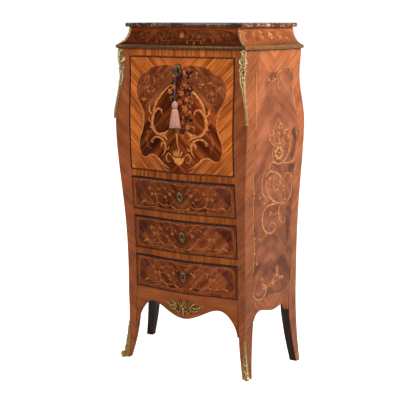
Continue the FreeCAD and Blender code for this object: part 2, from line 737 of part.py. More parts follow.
def leather_blank():
    half = FALL_HALF_WIDTH - LEATHER_MARGIN
    foot, head = FALL_FOOT + LEATHER_HEEL_MARGIN, FALL_HEAD - LEATHER_HEAD_MARGIN
    return block(-half, half, FALL_BACK, FALL_BACK + LEATHER_THICKNESS, foot, head)


def fall_panel():
    """The drop front, bowed and swollen outside and flat inside."""
    foot, head = FALL_FOOT + GAP, FALL_HEAD - GAP
    panel = cut_from_body(-FALL_HALF_WIDTH, FALL_HALF_WIDTH, FALL_BACK, foot, head)
    for space in (leather_blank(), lock_blank(), keyhole(KEY_LEVEL)):
        panel = panel.cut(space)
    return panel.cut(fall_pivot_blank()).cut(mirrored(fall_pivot_blank()))


def escutcheon(z):
    """An oval keyhole plate bedded on the curved front."""
    ring = Part.Ellipse(point(0.0, 0.0, z), ESCUTCHEON_HALF_HEIGHT, ESCUTCHEON_HALF_WIDTH)
    ring.Axis = Vector(0, -1, 0)
    ring.XAxis = Vector(0, 0, 1)
    plate = Part.Face(Part.Wire(ring.toShape())).extrude(Vector(0, -FAR, 0))
    raised = ENVELOPE.translated(Vector(0, -ESCUTCHEON_THICKNESS, 0))
    return plate.common(raised).cut(ENVELOPE).cut(keyhole(z))


def key():
    """The key: a round shank with its bit in the lock and a ring bow outside."""
    inner = FALL_BACK + 2.0 * LOCK_WALL
    length = KEY_SHANK_END + KEY_BOW_WIRE - inner
    shank = rod(0.0, inner + length, KEY_LEVEL, KEY_SHANK_RADIUS, length, Vector(0, 1, 0))
    half = KEY_BIT_THICKNESS / 2.0
    bit = block(-half, half, inner, inner + KEY_BIT_LENGTH, KEY_LEVEL - KEY_BIT_DROP, KEY_LEVEL)
    bow = Part.makeTorus(KEY_BOW_RADIUS, KEY_BOW_WIRE, point(0.0, KEY_BOW_DEPTH, KEY_LEVEL), Vector(0, 0, 1))
    return joined([shank, bit, bow])


def tassel_loop():
    """The loop of cord round the key's shank."""
    centre = point(0.0, TASSEL_DEPTH, KEY_LEVEL + KEY_SHANK_RADIUS + CORD_RADIUS - LOOP_RADIUS + JOINT_GAP)
    return Part.makeTorus(LOOP_RADIUS, CORD_RADIUS, centre, Vector(0, 1, 0))


def cord_top():
    """Level at which the cord leaves its loop."""
    centre = KEY_LEVEL + KEY_SHANK_RADIUS + CORD_RADIUS - LOOP_RADIUS + JOINT_GAP
    return centre - LOOP_RADIUS - CORD_RADIUS - JOINT_GAP


def tassel_cord():
    foot = cord_top() - CORD_LENGTH
    return rod(0.0, TASSEL_DEPTH, foot, CORD_RADIUS, CORD_LENGTH, Vector(0, 0, 1))


def tassel():
    """The tassel: a round head, a bound neck and a flaring skirt."""
    top = cord_top() - CORD_LENGTH
    neck = top - TASSEL_HEAD_LENGTH
    foot = neck - TASSEL_SKIRT_LENGTH
    axis = point(0.0, TASSEL_DEPTH, 0.0)
    head = [(CORD_RADIUS, top), (TASSEL_HEAD_RADIUS, (top + neck) / 2.0), (TASSEL_NECK_RADIUS, neck)]
    side = [axis + Vector(radius, 0, z) for radius, z in head]
    arc = Part.Arc(*side).toShape()
    hem = axis + Vector(TASSEL_RADIUS, 0, foot)
    low, high = axis + Vector(0, 0, foot), axis + Vector(0, 0, top)
    edges = [arc]
    for start, end in ((side[2], hem), (hem, low), (low, high), (high, side[0])):
        edges.append(Part.LineSegment(start, end).toShape())
    return Part.Face(Part.Wire(edges)).revolve(axis, Vector(0, 0, 1), 360.0)


def drawer_levels(index):
    foot = BASE_HEIGHT + index * DRAWER_PITCH
    return foot, foot + DRAWER_OPENING


def drawer_front_back(index):
    """Depth of the flat inner face of a drawer's front."""
    return edge_depth(drawer_levels(index)[0]) - DRAWER_FRONT_THICKNESS


def drawer_key_level(index):
    foot, head = drawer_levels(index)
    return (foot + head) / 2.0


def drawer_front(index):
    foot, head = drawer_levels(index)
    half = OPENING_HALF_WIDTH - GAP
    front = cut_from_body(-half, half, drawer_front_back(index), foot + GAP, head - GAP)
    return front.cut(keyhole(drawer_key_level(index)))


def drawer_sides(index):
    """The two sides and the back of a drawer."""
    foot, head = drawer_levels(index)
    outer = OPENING_HALF_WIDTH - SLIDE_CLEARANCE
    inner = outer - DRAWER_WALL
    low, high = foot + SLIDE_CLEARANCE, head - DRAWER_TOP_CLEARANCE
    rear = BACK_FACE + DRAWER_BACK_CLEARANCE
    side = block(inner, outer, rear, drawer_front_back(index), low, high)
    bottom_top = low + DRAWER_BOTTOM_RISE + DRAWER_BOTTOM_THICKNESS
    back = block(-inner, inner, rear, rear + DRAWER_WALL, bottom_top, high)
    return Part.makeCompound([side, mirrored(side), back])


def drawer_bottom(index):
    foot = drawer_levels(index)[0] + SLIDE_CLEARANCE + DRAWER_BOTTOM_RISE
    inner = OPENING_HALF_WIDTH - SLIDE_CLEARANCE - DRAWER_WALL
    rear = BACK_FACE + DRAWER_BACK_CLEARANCE
    return block(-inner, inner, rear, drawer_front_back(index), foot, foot + DRAWER_BOTTOM_THICKNESS)


def drawer_lock(index):
    """The lock on the inner face of a drawer's front."""
    level = drawer_key_level(index)
    half = LOCK_WIDTH / 2.0
    face = drawer_front_back(index)
    case = block(-half, half, face - LOCK_THICKNESS, face, level - DRAWER_LOCK_HEIGHT / 2.0,
                 level + DRAWER_LOCK_HEIGHT / 2.0)
    opening = keyhole(level).common(block(-FAR, FAR, face - LOCK_THICKNESS + LOCK_WALL, FAR, 0.0, FAR))
    return case.cut(opening)


def desk_bed():
    """The floor of the writing compartment, which also stops the heel of the open fall."""
    half = OPENING_HALF_WIDTH
    front = block(-half, half, POST_BACK, FALL_BACK - 2.0 * GAP, BED_FOOT, BED_TOP)
    return carcass_board(BED_FOOT, BED_TOP, front)


def nest_sides():
    side = block(NEST_HALF_WIDTH, OPENING_HALF_WIDTH, BACK_FACE, NEST_FRONT, BED_TOP, TOP_BOARD_FOOT)
    return Part.makeCompound([side, mirrored(side)])


def nest_shelf_levels():
    """Undersides of the two shelves of the nest."""
    return NEST_SHELF_FOOT, NEST_SHELF_FOOT + NEST_BOARD + NEST_MIDDLE_HEIGHT


def nest_shelves():
    shelves = []
    for foot in nest_shelf_levels():
        shelves.append(block(-NEST_HALF_WIDTH, NEST_HALF_WIDTH, BACK_FACE, NEST_FRONT, foot, foot + NEST_BOARD))
    return Part.makeCompound(shelves)


def nest_dividers():
    """Upright boards: one between the small drawers and two in each row of pigeonholes."""
    half = NEST_BOARD / 2.0
    lower, upper = nest_shelf_levels()
    rows = ((BED_TOP, lower, (0.0,)), (lower + NEST_BOARD, upper, (-NEST_BAY_HALF_WIDTH, NEST_BAY_HALF_WIDTH)))
    rows += ((upper + NEST_BOARD, TOP_BOARD_FOOT, (0.0,)),)
    boards = []
    for foot, head, places in rows:
        boards += [block(x - half, x + half, BACK_FACE, NEST_FRONT, foot, head) for x in places]
    return Part.makeCompound(boards)


def nest_drawer_span():
    """Inner and outer x of the right small drawer."""
    return NEST_BOARD / 2.0 + SLIDE_CLEARANCE, NEST_HALF_WIDTH - SLIDE_CLEARANCE


def nest_drawer():
    """The right small drawer: front, two sides, back and bottom."""
    x0, x1 = nest_drawer_span()
    foot, head = BED_TOP + SLIDE_CLEARANCE, NEST_SHELF_FOOT - GAP
    rear, face = BACK_FACE + SLIDE_CLEARANCE, NEST_FRONT
    inside = face - NEST_DRAWER_FRONT
    wall = NEST_DRAWER_WALL
    floor_top = foot + wall
    return Part.makeCompound([
        block(x0, x1, inside, face, foot, head),
        block(x0, x0 + wall, rear, inside, foot, head),
        block(x1 - wall, x1, rear, inside, foot, head),
        block(x0 + wall, x1 - wall, rear, rear + wall, floor_top, head),
        block(x0 + wall, x1 - wall, rear, inside, foot, floor_top),
    ])


def nest_knob():
    """A turned knob on the right small drawer."""
    x = sum(nest_drawer_span()) / 2.0
    z = (BED_TOP + NEST_SHELF_FOOT) / 2.0
    stem_radius, stem = KNOB_RADIUS / 2.0, KNOB_LENGTH / 2.0
    corners = [(0.0, 0.0), (stem_radius, 0.0), (stem_radius, stem), (KNOB_RADIUS, stem)]
    corners += [(KNOB_RADIUS, KNOB_LENGTH), (0.0, KNOB_LENGTH)]
    profile = [point(x + radius, NEST_FRONT + reach, z) for radius, reach in corners]
    face = Part.Face(Part.makePolygon(profile + profile[:1]))
    return face.revolve(point(x, 0.0, z), Vector(0, 1, 0), 360.0)


def corner_strip(levels, corner_at, side_run):
    """A tapering strip along a front corner, from (height, width, relief) levels.

    corner_at gives the corner's (x, depth) at a height, and side_run how far the side moves out per depth.
    """
    sections = []
    for z, width, relief in levels:
        x, depth = corner_at(z)
        face = depth - CORNER_FORWARD * width / POST_WIDTH
        sections.append([
            point(x - width, depth - CORNER_FORWARD, z),
            point(x - width, face + relief / 2.0, z),
            point(x + relief, depth + relief, z),
            point(x + relief / 2.0 + side_run * width, depth - width, z),
            point(x - width / 2.0, depth - width, z),
        ])
    return section_loft(sections)


def corner_mount(backing):
    """The right gilt mount at the head of the front post: full at the top, with a long tail."""
    levels = []
    for share in spaced(0.0, 1.0, MOUNT_STATIONS):
        z = BODY_TOP - CORNER_MOUNT_LENGTH * share
        from_middle = min(1.0, abs(share - CORNER_MOUNT_MIDDLE) / CORNER_MOUNT_SPREAD)
        fullness = math.cos(math.pi / 2.0 * from_middle) ** 2
        width = CORNER_MOUNT_TAIL_WIDTH + (CORNER_MOUNT_WIDTH - CORNER_MOUNT_TAIL_WIDTH) * fullness
        relief = CORNER_MOUNT_RELIEF - CORNER_MOUNT_DIP * fullness
        levels.append((z, width, relief))
    run = SIDE_FLARE / BASE_DEPTH
    strip = corner_strip(levels, lambda z: (corner_x(z), corner_depth(z)), run)
    return strip.cut(backing)


def cove_mounts(backings):
    """Gilt strips down the two front corners of the frieze."""
    def corner_at(z):
        share = cove_share(z)
        x = corner_x(BODY_TOP) + COVE_PROJECTION - COVE_RECESS_SIDE * share
        return x, corner_depth(BODY_TOP) + COVE_PROJECTION - COVE_RECESS_FRONT * share

    levels = [(z, COVE_MOUNT_WIDTH, COVE_MOUNT_RELIEF) for z in spaced(COVE_FOOT, MARBLE_FOOT, COVE_STATIONS)]
    strip = corner_strip(levels, corner_at, SIDE_FLARE / BASE_DEPTH)
    for backing in backings:
        strip = strip.cut(backing)
    return Part.makeCompound([strip, mirrored(strip)])


def apron_mount(backing):
    """The gilt spray on the apron: a raised middle between two drooping wings."""
    half, height = APRON_MOUNT_HALF_WIDTH, APRON_MOUNT_HEIGHT
    foot = BASE_HEIGHT - APRON_DROP + APRON_MOUNT_ABOVE_EDGE
    right = [(0.0, 0.0), (0.22 * half, 0.3 * height), (0.6 * half, 0.42 * height), (half, 0.78 * height)]
    right += [(0.62 * half, 0.8 * height), (0.24 * half, 0.72 * height)]
    outline = right + [(0.0, height)] + [(-x, z) for x, z in reversed(right[1:])]
    depth = front_depth(0.0, BASE_HEIGHT)
    ring = Part.BSplineCurve()
    ring.interpolate([point(x, depth + APRON_MOUNT_RELIEF, foot + z) for x, z in outline], PeriodicFlag=True)
    face = Part.Face(Part.Wire(ring.toShape()))
    return face.extrude(Vector(0, FRONT_BOW + APRON_MOUNT_RELIEF - GAP, 0)).cut(backing)


def sabots(backing):
    """Gilt leaves on the front feet: broad round the toe, and drawn out to a point up the corner of the leg."""
    def corner_at(z):
        down = 1.0 - z / BASE_HEIGHT
        out = FOOT_SPLAY * max(0.0, 1.0 - z / SPLAY_START) ** 2 - FOOT_TAPER * down
        return CORNER_BASE + out, BASE_DEPTH + CORNER_FORWARD + out

    levels = []
    for share in spaced(0.0, 1.0, MOUNT_STATIONS):
        width = SABOT_WIDTH + (SABOT_TIP_WIDTH - SABOT_WIDTH) * share
        relief = SABOT_RELIEF + (SABOT_TIP_RELIEF - SABOT_RELIEF) * share
        levels.append((SABOT_HEIGHT * share, width, relief))
    leaf = corner_strip(levels, corner_at, front_leg_side_run())
    toe_x, toe_depth = (place + SABOT_TOE_REACH for place in corner_at(0.0))
    toe = rod(toe_x, toe_depth, 0.0, SABOT_TOE_RADIUS, SABOT_TOE_HEIGHT, Vector(0, 0, 1))
    sabot = joined([leaf, toe]).cut(backing)
    return Part.makeCompound([sabot, mirrored(sabot)])


def build():
    """Every sub-part by the name of its node."""
    parts = {}

    def pair(name, shape):
        parts[name + "_right"] = shape
        parts[name + "_left"] = mirrored(shape)

    post = front_post()
    side = side_panel()
    pair("front_post", post)
    pair("rear_post", rear_post())
    pair("side_panel", side)
    parts["back_panel"] = back_panel()
    parts["desk_floor"] = desk_floor()
    for index in range(DRAWER_COUNT - 1):
        parts[f"drawer_divider_{index + 1}"] = drawer_divider(index)
    parts["bottom_board"] = bottom_board()
    parts["top_rail"] = top_rail()
    parts["top_board"] = top_board()
    parts["apron"] = apron()
    parts["drawer_guides"] = drawer_guides()
    frieze_front, frieze_right, frieze_left = mitred(cornice(), BODY_TOP, MARBLE_FOOT)
    parts["frieze_front"] = frieze_front
    parts["frieze_right"] = frieze_right
    parts["frieze_left"] = frieze_left
    parts["brass_moulding"] = moulding()
    parts["marble_top"] = marble_top()
    parts["pivot_plates"] = pivot_plates()
    parts["strike_plate"] = strike_plate()
    parts["desk_bed"] = desk_bed()
    parts["nest_sides"] = nest_sides()
    parts["nest_shelves"] = nest_shelves()
    parts["nest_dividers"] = nest_dividers()
    pair("nest_drawer", nest_drawer())
    pair("nest_knob", nest_knob())
    pair("corner_mount", corner_mount(joined([post, side])))
    parts["cove_mounts"] = cove_mounts((frieze_front, frieze_right))
    parts["apron_mount"] = apron_mount(parts["apron"])
    parts["sabots"] = sabots(post)

    parts["fall_panel"] = fall_panel()
    parts["writing_leather"] = leather_blank()
    parts["fall_pivots"] = fall_pivots()
    parts["fall_lock"] = fall_lock()
    parts["fall_escutcheon"] = escutcheon(KEY_LEVEL)
    parts["lock_bolt"] = lock_bolt()
    parts["key"] = key()
    parts["tassel_loop"] = tassel_loop()
    parts["tassel_cord"] = tassel_cord()
    parts["tassel"] = tassel()

    for index in range(DRAWER_COUNT):
        name = f"drawer_{index + 1}"
        parts[name + "_front"] = drawer_front(index)
        parts[name + "_sides"] = drawer_sides(index)
        parts[name + "_bottom"] = drawer_bottom(index)
        parts[name + "_lock"] = drawer_lock(index)
        parts[name + "_escutcheon"] = escutcheon(drawer_key_level(index))
    return parts


def main():
    os.makedirs("parts", exist_ok=True)
    parts = build()
    for name, shape in parts.items():
        shape.exportStep(f"parts/{name}.step")
    cord = parts["tassel_cord"]
    cord_share = cord.Volume / (math.pi * CORD_RADIUS ** 2 * CORD_LENGTH)
    print("cord volume over section times length", round(cord_share, 4))
    print("cord radius", CORD_RADIUS, "length", CORD_LENGTH)
    print("height", HEIGHT, "depth", OVERALL_DEPTH, "origin depth", ORIGIN_DEPTH)
    print("fall pivot depth and level", PIVOT_DEPTH, PIVOT_LEVEL, "bed top", BED_TOP)
    print("tassel depth", TASSEL_DEPTH, "cord top", cord_top(), "key level", KEY_LEVEL)
    print("drawer front inner depths", [drawer_front_back(index) for index in range(DRAWER_COUNT)])


main()
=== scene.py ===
"""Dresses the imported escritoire: veneers, marquetry, gilt mounts, marble, tassel, floor, light and camera.

Lengths are metres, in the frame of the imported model. Drawings of marquetry and mounts are in millimetres.
"""

import math
import random

import bpy
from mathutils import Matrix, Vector
from mathutils.bvhtree import BVHTree
from mathutils.geometry import delaunay_2d_cdt


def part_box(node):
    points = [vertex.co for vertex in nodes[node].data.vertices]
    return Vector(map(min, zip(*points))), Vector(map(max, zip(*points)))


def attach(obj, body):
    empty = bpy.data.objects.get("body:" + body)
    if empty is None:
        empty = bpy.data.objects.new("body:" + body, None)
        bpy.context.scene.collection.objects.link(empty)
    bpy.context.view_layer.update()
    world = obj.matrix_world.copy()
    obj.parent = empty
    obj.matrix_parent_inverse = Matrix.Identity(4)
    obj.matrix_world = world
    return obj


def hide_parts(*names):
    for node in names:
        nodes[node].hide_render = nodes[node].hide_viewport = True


MM = 0.001
TURN = 2.0 * math.pi

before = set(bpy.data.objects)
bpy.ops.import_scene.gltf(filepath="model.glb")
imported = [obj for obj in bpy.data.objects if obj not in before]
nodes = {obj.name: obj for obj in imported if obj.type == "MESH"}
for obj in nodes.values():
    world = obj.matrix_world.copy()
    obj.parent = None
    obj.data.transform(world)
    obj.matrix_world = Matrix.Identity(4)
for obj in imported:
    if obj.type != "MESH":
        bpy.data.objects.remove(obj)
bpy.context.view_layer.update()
rng = random.Random(7)

SIDES = ((1.0, "right"), (-1.0, "left"))
WHITE = (1.0, 1.0, 1.0)
BLACK = (0.0, 0.0, 0.0)

# Camera, fitted to the corners of the cabinet in the photograph
CAMERA_PLACE = (1.8249, -3.2359, 1.3168)
CAMERA_YAW = 29.46
CAMERA_DIP = 9.27
CAMERA_LENS = 89.285
CAMERA_SHIFT = (0.0072, -0.05)
CAMERA_REACH = 50.0

# Each lamp's name, place, target, size, power and colour
LAMPS = (
    ("lamp_right", (2.2, -0.6, 2.5), (0.3, 0.0, 1.0), 1.1, 74.0, (1.0, 0.97, 0.93)),
    ("lamp_front", (-1.0, -3.4, 3.2), (0.0, 0.0, 0.7), 1.8, 95.0, (1.0, 0.98, 0.95)),
)
# The surround's colour, its strength as a light and what is added where the camera sees it
SURROUND_COLOUR = (1.0, 0.985, 0.965)
SURROUND_LIGHT = 0.5
SURROUND_SEEN = 0.55
FLOOR_REACH = 14.0
FLOOR_GLOW = 0.82

# Route of the tassel's cord, from its loop on the key down to the tassel
CORD_ROUTE = ((0.0, -0.16825, 1.1233), (0.0, -0.16825, 1.0723), (0.0, -0.16825, 1.0213))
CORD_DIAMETER = 0.0032
TASSEL_HEAD = 0.024
TASSEL_SKIRT = 0.071
TASSEL_SPREAD = 1.28
TASSEL_NECK_RADIUS = 0.0065
TASSEL_RADIUS = 0.016
THREAD_SIDES = 6
HEAD_THREADS = 22
HEAD_RADII = [0.0007] + [0.0011] * 9 + [0.0009]
BINDING_LIFTS = (-0.0022, 0.0, 0.0022)
BINDING_STEPS = 24
BINDING_REACH = 0.0069
BINDING_RADIUS = 0.0012
SKIRT_THREADS = 52
SKIRT_RADII = [0.0007, 0.0009, 0.0011, 0.0012, 0.0013, 0.0013, 0.0012]

# How far the layers of the marquetry lie above the wood under them, and how thick they are
INLAY_LIFT = 0.0003
DARK_LIFT = INLAY_LIFT + 0.0001
LINE_LIFT = 0.0005
BLOOM_LIFT = 0.0007
HEART_LIFT = BLOOM_LIFT + 0.0002
INLAY_THICKNESS = 0.0009
TOOLING_THICKNESS = 0.0004

# In millimetres: the middles of the drawers and of the fall's key plate, and how far cast edges sink in
DRAWER_LEVELS = {1: 357.25, 2: 510.75, 3: 664.25}
FALL_LEVEL = 1131.5
SINK = 0.5


class Nodes:
    """A tree of shader nodes and short ways to add to it."""

    def __init__(self, tree):
        self.tree = tree

    def put(self, node, key, value):
        """Links a socket to a node's input, or sets a value there. Colours are (r, g, b)."""
        target = node.inputs[key]
        if isinstance(value, bpy.types.NodeSocket):
            self.tree.links.new(value, target)
        else:
            target.default_value = (*value, 1.0) if target.type == "RGBA" else value

    def add(self, kind, inputs=None, **settings):
        made = self.tree.nodes.new("ShaderNode" + kind)
        for key, value in settings.items():
            setattr(made, key, value)
        for key, value in (inputs or {}).items():
            self.put(made, key, value)
        return made

    def maths(self, operation, first, second=0.0):
        return self.add("Math", {0: first, 1: second}, operation=operation).outputs[0]

    def mix(self, factor, first, second, blend="MIX"):
        """Two colours mixed. The node's colours are its inputs 6 and 7 and its output 2."""
        made = self.add("Mix", data_type="RGBA", blend_type=blend)
        for key, value in ((0, factor), (6, first), (7, second)):
            self.put(made, key, value)
        return made.outputs[2]

    def times(self, first, second):
        return self.mix(1.0, first, second, "MULTIPLY")

    def ramp(self, factor, stops):
        """A colour that runs through (place, (r, g, b)) stops."""
        stops = list(stops)
        made = self.add("ValToRGB", {"Fac": factor})
        elements = made.color_ramp.elements
        while len(elements) < len(stops):
            elements.new(0.5)
        for element, (place, colour) in zip(elements, stops):
            element.position = place
            element.color = (*colour, 1.0)
        return made.outputs["Color"]

    def place(self):
        return self.add("TexCoord").outputs["Object"]

    def split(self, vector):
        return self.add("SeparateXYZ", {0: vector}).outputs

    def noise(self, scale, detail, vector=None, distortion=0.0):
        """A soft noise; scale is one number, or one for each axis."""
        if vector is None:
            vector = self.place()
        if isinstance(scale, tuple):
            vector = self.add("Mapping", {"Vector": vector, "Scale": scale}).outputs[0]
            scale = 1.0
        inputs = {"Vector": vector, "Scale": scale, "Detail": detail, "Distortion": distortion}
        return self.add("TexNoise", inputs).outputs["Fac"]

    def openness(self, distance):
        """How open a place is: low in corners and hollows."""
        return self.add("AmbientOcclusion", {"Distance": distance}, samples=4).outputs["AO"]

    def seen(self, strength):
        """A strength that counts only where the camera looks."""
        return self.maths("MULTIPLY", self.add("LightPath").outputs["Is Camera Ray"], strength)


class Look(Nodes):
    """A material in the making, and what several materials share."""

    def __init__(self, name, roughness, metallic=0.0, sheen=0.5):
        """sheen is the strength of plain reflections, 0.5 for glass."""
        self.material = bpy.data.materials.new(name)
        self.material.use_nodes = True
        super().__init__(self.material.node_tree)
        self.shader = self.tree.nodes["Principled BSDF"]
        self.set("Roughness", roughness)
        self.set("Metallic", metallic)
        self.set("Specular IOR Level", sheen)

    def set(self, key, value):
        self.put(self.shader, key, value)

    def finish(self, colour, height, strength, depth):
        """The material, with its colour and its small bumps."""
        self.set("Base Color", colour)
        bump = self.add("Bump", {"Height": height, "Strength": strength, "Distance": depth})
        self.set("Normal", bump.outputs["Normal"])
        return self.material

    def outward(self, least):
        """One on faces that look out to the left or right, by more than least, and nought on the others."""
        coords = self.add("TexCoord").outputs
        x = self.split(coords["Object"])[0]
        way = self.split(coords["Normal"])[0]
        return self.maths("GREATER_THAN", self.maths("MULTIPLY", self.maths("SIGN", x), way), least)

    def painted_light_halves(self, colour, left, right):
        """A colour with painted light and shade: darker or lighter on the left half and the right half."""
        on_right = self.maths("GREATER_THAN", self.split(self.place())[0], 0.0)
        return self.times(colour, self.mix(on_right, left, right))

    def grain(self, layout, centre):
        """Coordinates (across the grain, along it, depth) for a veneer layout.

        down and up: chevrons that point that way about x = centre; side_down and side_up: the same about
        y = centre; upright and level: plain grain; side_level: level grain on the sides.
        """
        x, y, z = self.split(self.place())
        if layout == "upright":
            parts = (self.maths("ADD", x, y), z, self.maths("SUBTRACT", x, y))
        elif layout == "level":
            parts = (z, x, y)
        elif layout == "side_level":
            parts = (z, y, x)
        else:
            flat, rest = (x, y) if layout in ("down", "up") else (y, x)
            flat = self.maths("ABSOLUTE", self.maths("SUBTRACT", flat, centre))
            turns = ("SUBTRACT", "ADD") if layout.endswith("down") else ("ADD", "SUBTRACT")
            parts = (*(self.maths(turn, z, flat) for turn in turns), rest)
        return self.add("CombineXYZ", dict(enumerate(parts))).outputs[0]

    def wood(self, tones, layout="upright", centre=0.0, stripe=110.0, mottle=0.35, levels=(), corner_shade_lightness=0.3):
        """The colour of striped wood with painted shade in its corners, and its fine grain.

        tones run from dark to light; stripe is how many stripes lie in a metre; mottle is how much its clouds
        darken it; levels are heights in metres with how light the wood is there, as painted light and shade;
        corner_shade_lightness is how light it stays in corners, as painted shade.
        """
        vector = self.grain(layout, centre)
        bands = self.noise((stripe, 3.0, 3.0), 3.0, vector)
        fine = self.noise((stripe * 6.0, 14.0, 14.0), 2.0, vector)
        cloud = self.noise((14.0, 9.0, 9.0), 4.0, vector)
        mixed = self.maths("ADD", self.maths("MULTIPLY", bands, 0.72), self.maths("MULTIPLY", fine, 0.28))
        colour = self.ramp(mixed, zip((0.37, 0.5, 0.63), tones))
        dark = 1.0 - mottle
        shade = self.ramp(cloud, ((0.32, (dark, 0.94 * dark, 0.94 * dark)), (0.6, WHITE)))
        # Painted shade: darker in corners and hollows, found by ambient occlusion
        painted_corner_shade = self.ramp(self.openness(0.014), ((0.35, (corner_shade_lightness, 0.87 * corner_shade_lightness, 0.8 * corner_shade_lightness)), (0.85, WHITE)))
        colour = self.times(self.times(colour, shade), painted_corner_shade)
        # Painted light and shade: lighter or darker at the given heights
        if levels:
            low, span = levels[0][0], levels[-1][0] - levels[0][0]
            height = self.split(self.place())[2]
            share = self.maths("DIVIDE", self.maths("SUBTRACT", height, low), span)
            stops = [((z - low) / span, (light,) * 3) for z, light in levels]
            colour = self.times(colour, self.ramp(share, stops))
        return colour, fine

    def streaked(self, tones, places, scale, detail, strength, depth):
        """The material with plain streaks, whose tones lie at the given places of a ramp."""
        streaks = self.noise(scale, detail)
        return self.finish(self.ramp(streaks, zip(places, tones)), streaks, strength, depth)


def veneer(name, tones, layout="upright", roughness=0.36, sheen=0.06, rest=None, least=0.35, halves=None,
           **figure):
    """Polished wood.

    rest, where given, describes the wood on faces that don't look out to the left or right, and halves how
    light the left and right halves are, as painted light and shade.
    """
    look = Look(name, roughness, sheen=sheen)
    colour, fine = look.wood(tones, layout, **figure)
    if rest:
        colour = look.mix(look.outward(least), look.wood(**rest)[0], colour)
    if halves:
        colour = look.painted_light_halves(colour, *halves)
    return look.finish(colour, fine, strength=0.12, depth=0.0004)


def inlay_wood(name, tones):
    """A small piece of plain wood, shaded a little as if scorched in sand."""
    look = Look(name, roughness=0.32, sheen=0.08)
    return look.streaked(tones, (0.32, 0.5, 0.66), scale=(220.0, 60.0, 90.0), detail=3.0,
                         strength=0.1, depth=0.0003)


def metal(name, tones, roughness):
    """Rubbed metal with fine scratches in one direction."""
    look = Look(name, roughness, metallic=1.0)
    return look.streaked(tones, (0.35, 0.65), scale=(90.0, 500.0, 90.0), detail=4.0,
                         strength=0.15, depth=0.0003)


def silk(name, tones, twist):
    """Silk thread: a soft sheen and fine twisted lines."""
    look = Look(name, roughness=0.55)
    look.set("Sheen Weight", 0.5)
    return look.streaked(tones, (0.35, 0.65), scale=(700.0, 700.0, twist), detail=2.0,
                         strength=0.4, depth=0.0006)


def gilt(name, tint=WHITE, left=None, side=None, metallic=0.62):
    """Gilt bronze: bright on what stands out and dark and dull in the hollows, as painted highlight and
    painted shade.

    left is the tint of the left half, a painted shade, and side that of the faces that look out to the left
    or right, a painted light.
    """
    look = Look(name, roughness=0.36, metallic=metallic)
    spots = look.noise(130.0, 4.0)
    tones = [tuple(min(1.0, c * t) for c, t in zip(tone, tint)) for tone in GILT]
    # Painted highlight and shade: dark where the mesh is hollow, bright where it stands out
    colour = look.ramp(look.add("NewGeometry").outputs["Pointiness"], zip((0.43, 0.5, 0.58), tones))
    colour = look.times(colour, look.ramp(spots, ((0.34, (0.6, 0.48, 0.34)), (0.54, WHITE))))
    # Painted shade in the hollows, found by ambient occlusion
    colour = look.times(colour, look.ramp(look.openness(0.005), ((0.25, (0.36, 0.25, 0.14)), (0.7, WHITE))))
    # Painted shade on the left half and painted light on faces that look out to the sides
    if left:
        colour = look.painted_light_halves(colour, left, WHITE)
    if side:
        colour = look.times(colour, look.mix(look.outward(0.3), WHITE, side))
    look.set("Roughness", look.ramp(spots, ((0.3, (0.55,) * 3), (0.7, (0.34,) * 3))))
    return look.finish(colour, spots, strength=0.4, depth=0.0008)


def marble():
    """Dark red-brown marble with pale specks and thin veins, with painted light on faces that look out to the
    sides.
    """
    look = Look("marble", roughness=0.16, sheen=0.35)
    place = look.place()
    cloud = look.noise(16.0, 6.0, place, distortion=1.2)
    colour = look.ramp(cloud, zip((0.32, 0.52, 0.72), MARBLE))
    cell = look.add("TexVoronoi", {"Vector": place, "Scale": 170.0}).outputs["Distance"]
    spot = look.maths("SUBTRACT", look.noise(60.0, 3.0, place), look.maths("MULTIPLY", cell, 0.55))
    colour = look.mix(look.ramp(spot, ((0.36, BLACK), (0.44, WHITE))), colour, (0.42, 0.33, 0.29))
    drift = look.add("TexNoise", {"Vector": place, "Scale": 7.0, "Detail": 5.0}).outputs["Color"]
    bent = look.add("VectorMath", {0: drift, 1: (0.16, 0.16, 0.16)}, operation="MULTIPLY").outputs[0]
    moved = look.add("VectorMath", {0: place, 1: bent}, operation="ADD").outputs[0]
    vein = look.add("TexVoronoi", {"Vector": moved, "Scale": 11.0}, feature="DISTANCE_TO_EDGE")
    thread = look.ramp(vein.outputs["Distance"], ((0.0, (0.5, 0.42, 0.38)), (0.025, BLACK)))
    broken = look.ramp(cloud, ((0.46, BLACK), (0.6, WHITE)))
    colour = look.mix(0.5, colour, look.times(thread, broken), "ADD")
    # Painted light: lighter on faces that look out to the sides, darker on the front and top
    tint = look.mix(look.outward(0.5), (0.5, 0.45, 0.4), (1.7, 1.4, 1.25))
    return look.finish(look.times(colour, tint), cloud, strength=0.04, depth=0.0005)


def leather():
    look = Look("desk_leather", roughness=0.5)
    pores = look.add("TexVoronoi", {"Vector": look.place(), "Scale": 420.0}).outputs["Distance"]
    colour = look.ramp(look.noise(11.0, 5.0), ((0.3, (0.05, 0.016, 0.01)), (0.7, (0.15, 0.05, 0.027))))
    return look.finish(colour, pores, strength=0.35, depth=0.0005)


def toned(tones, share):
    """The same wood, darker or lighter."""
    return tuple(tuple(share * c for c in tone) for tone in tones)


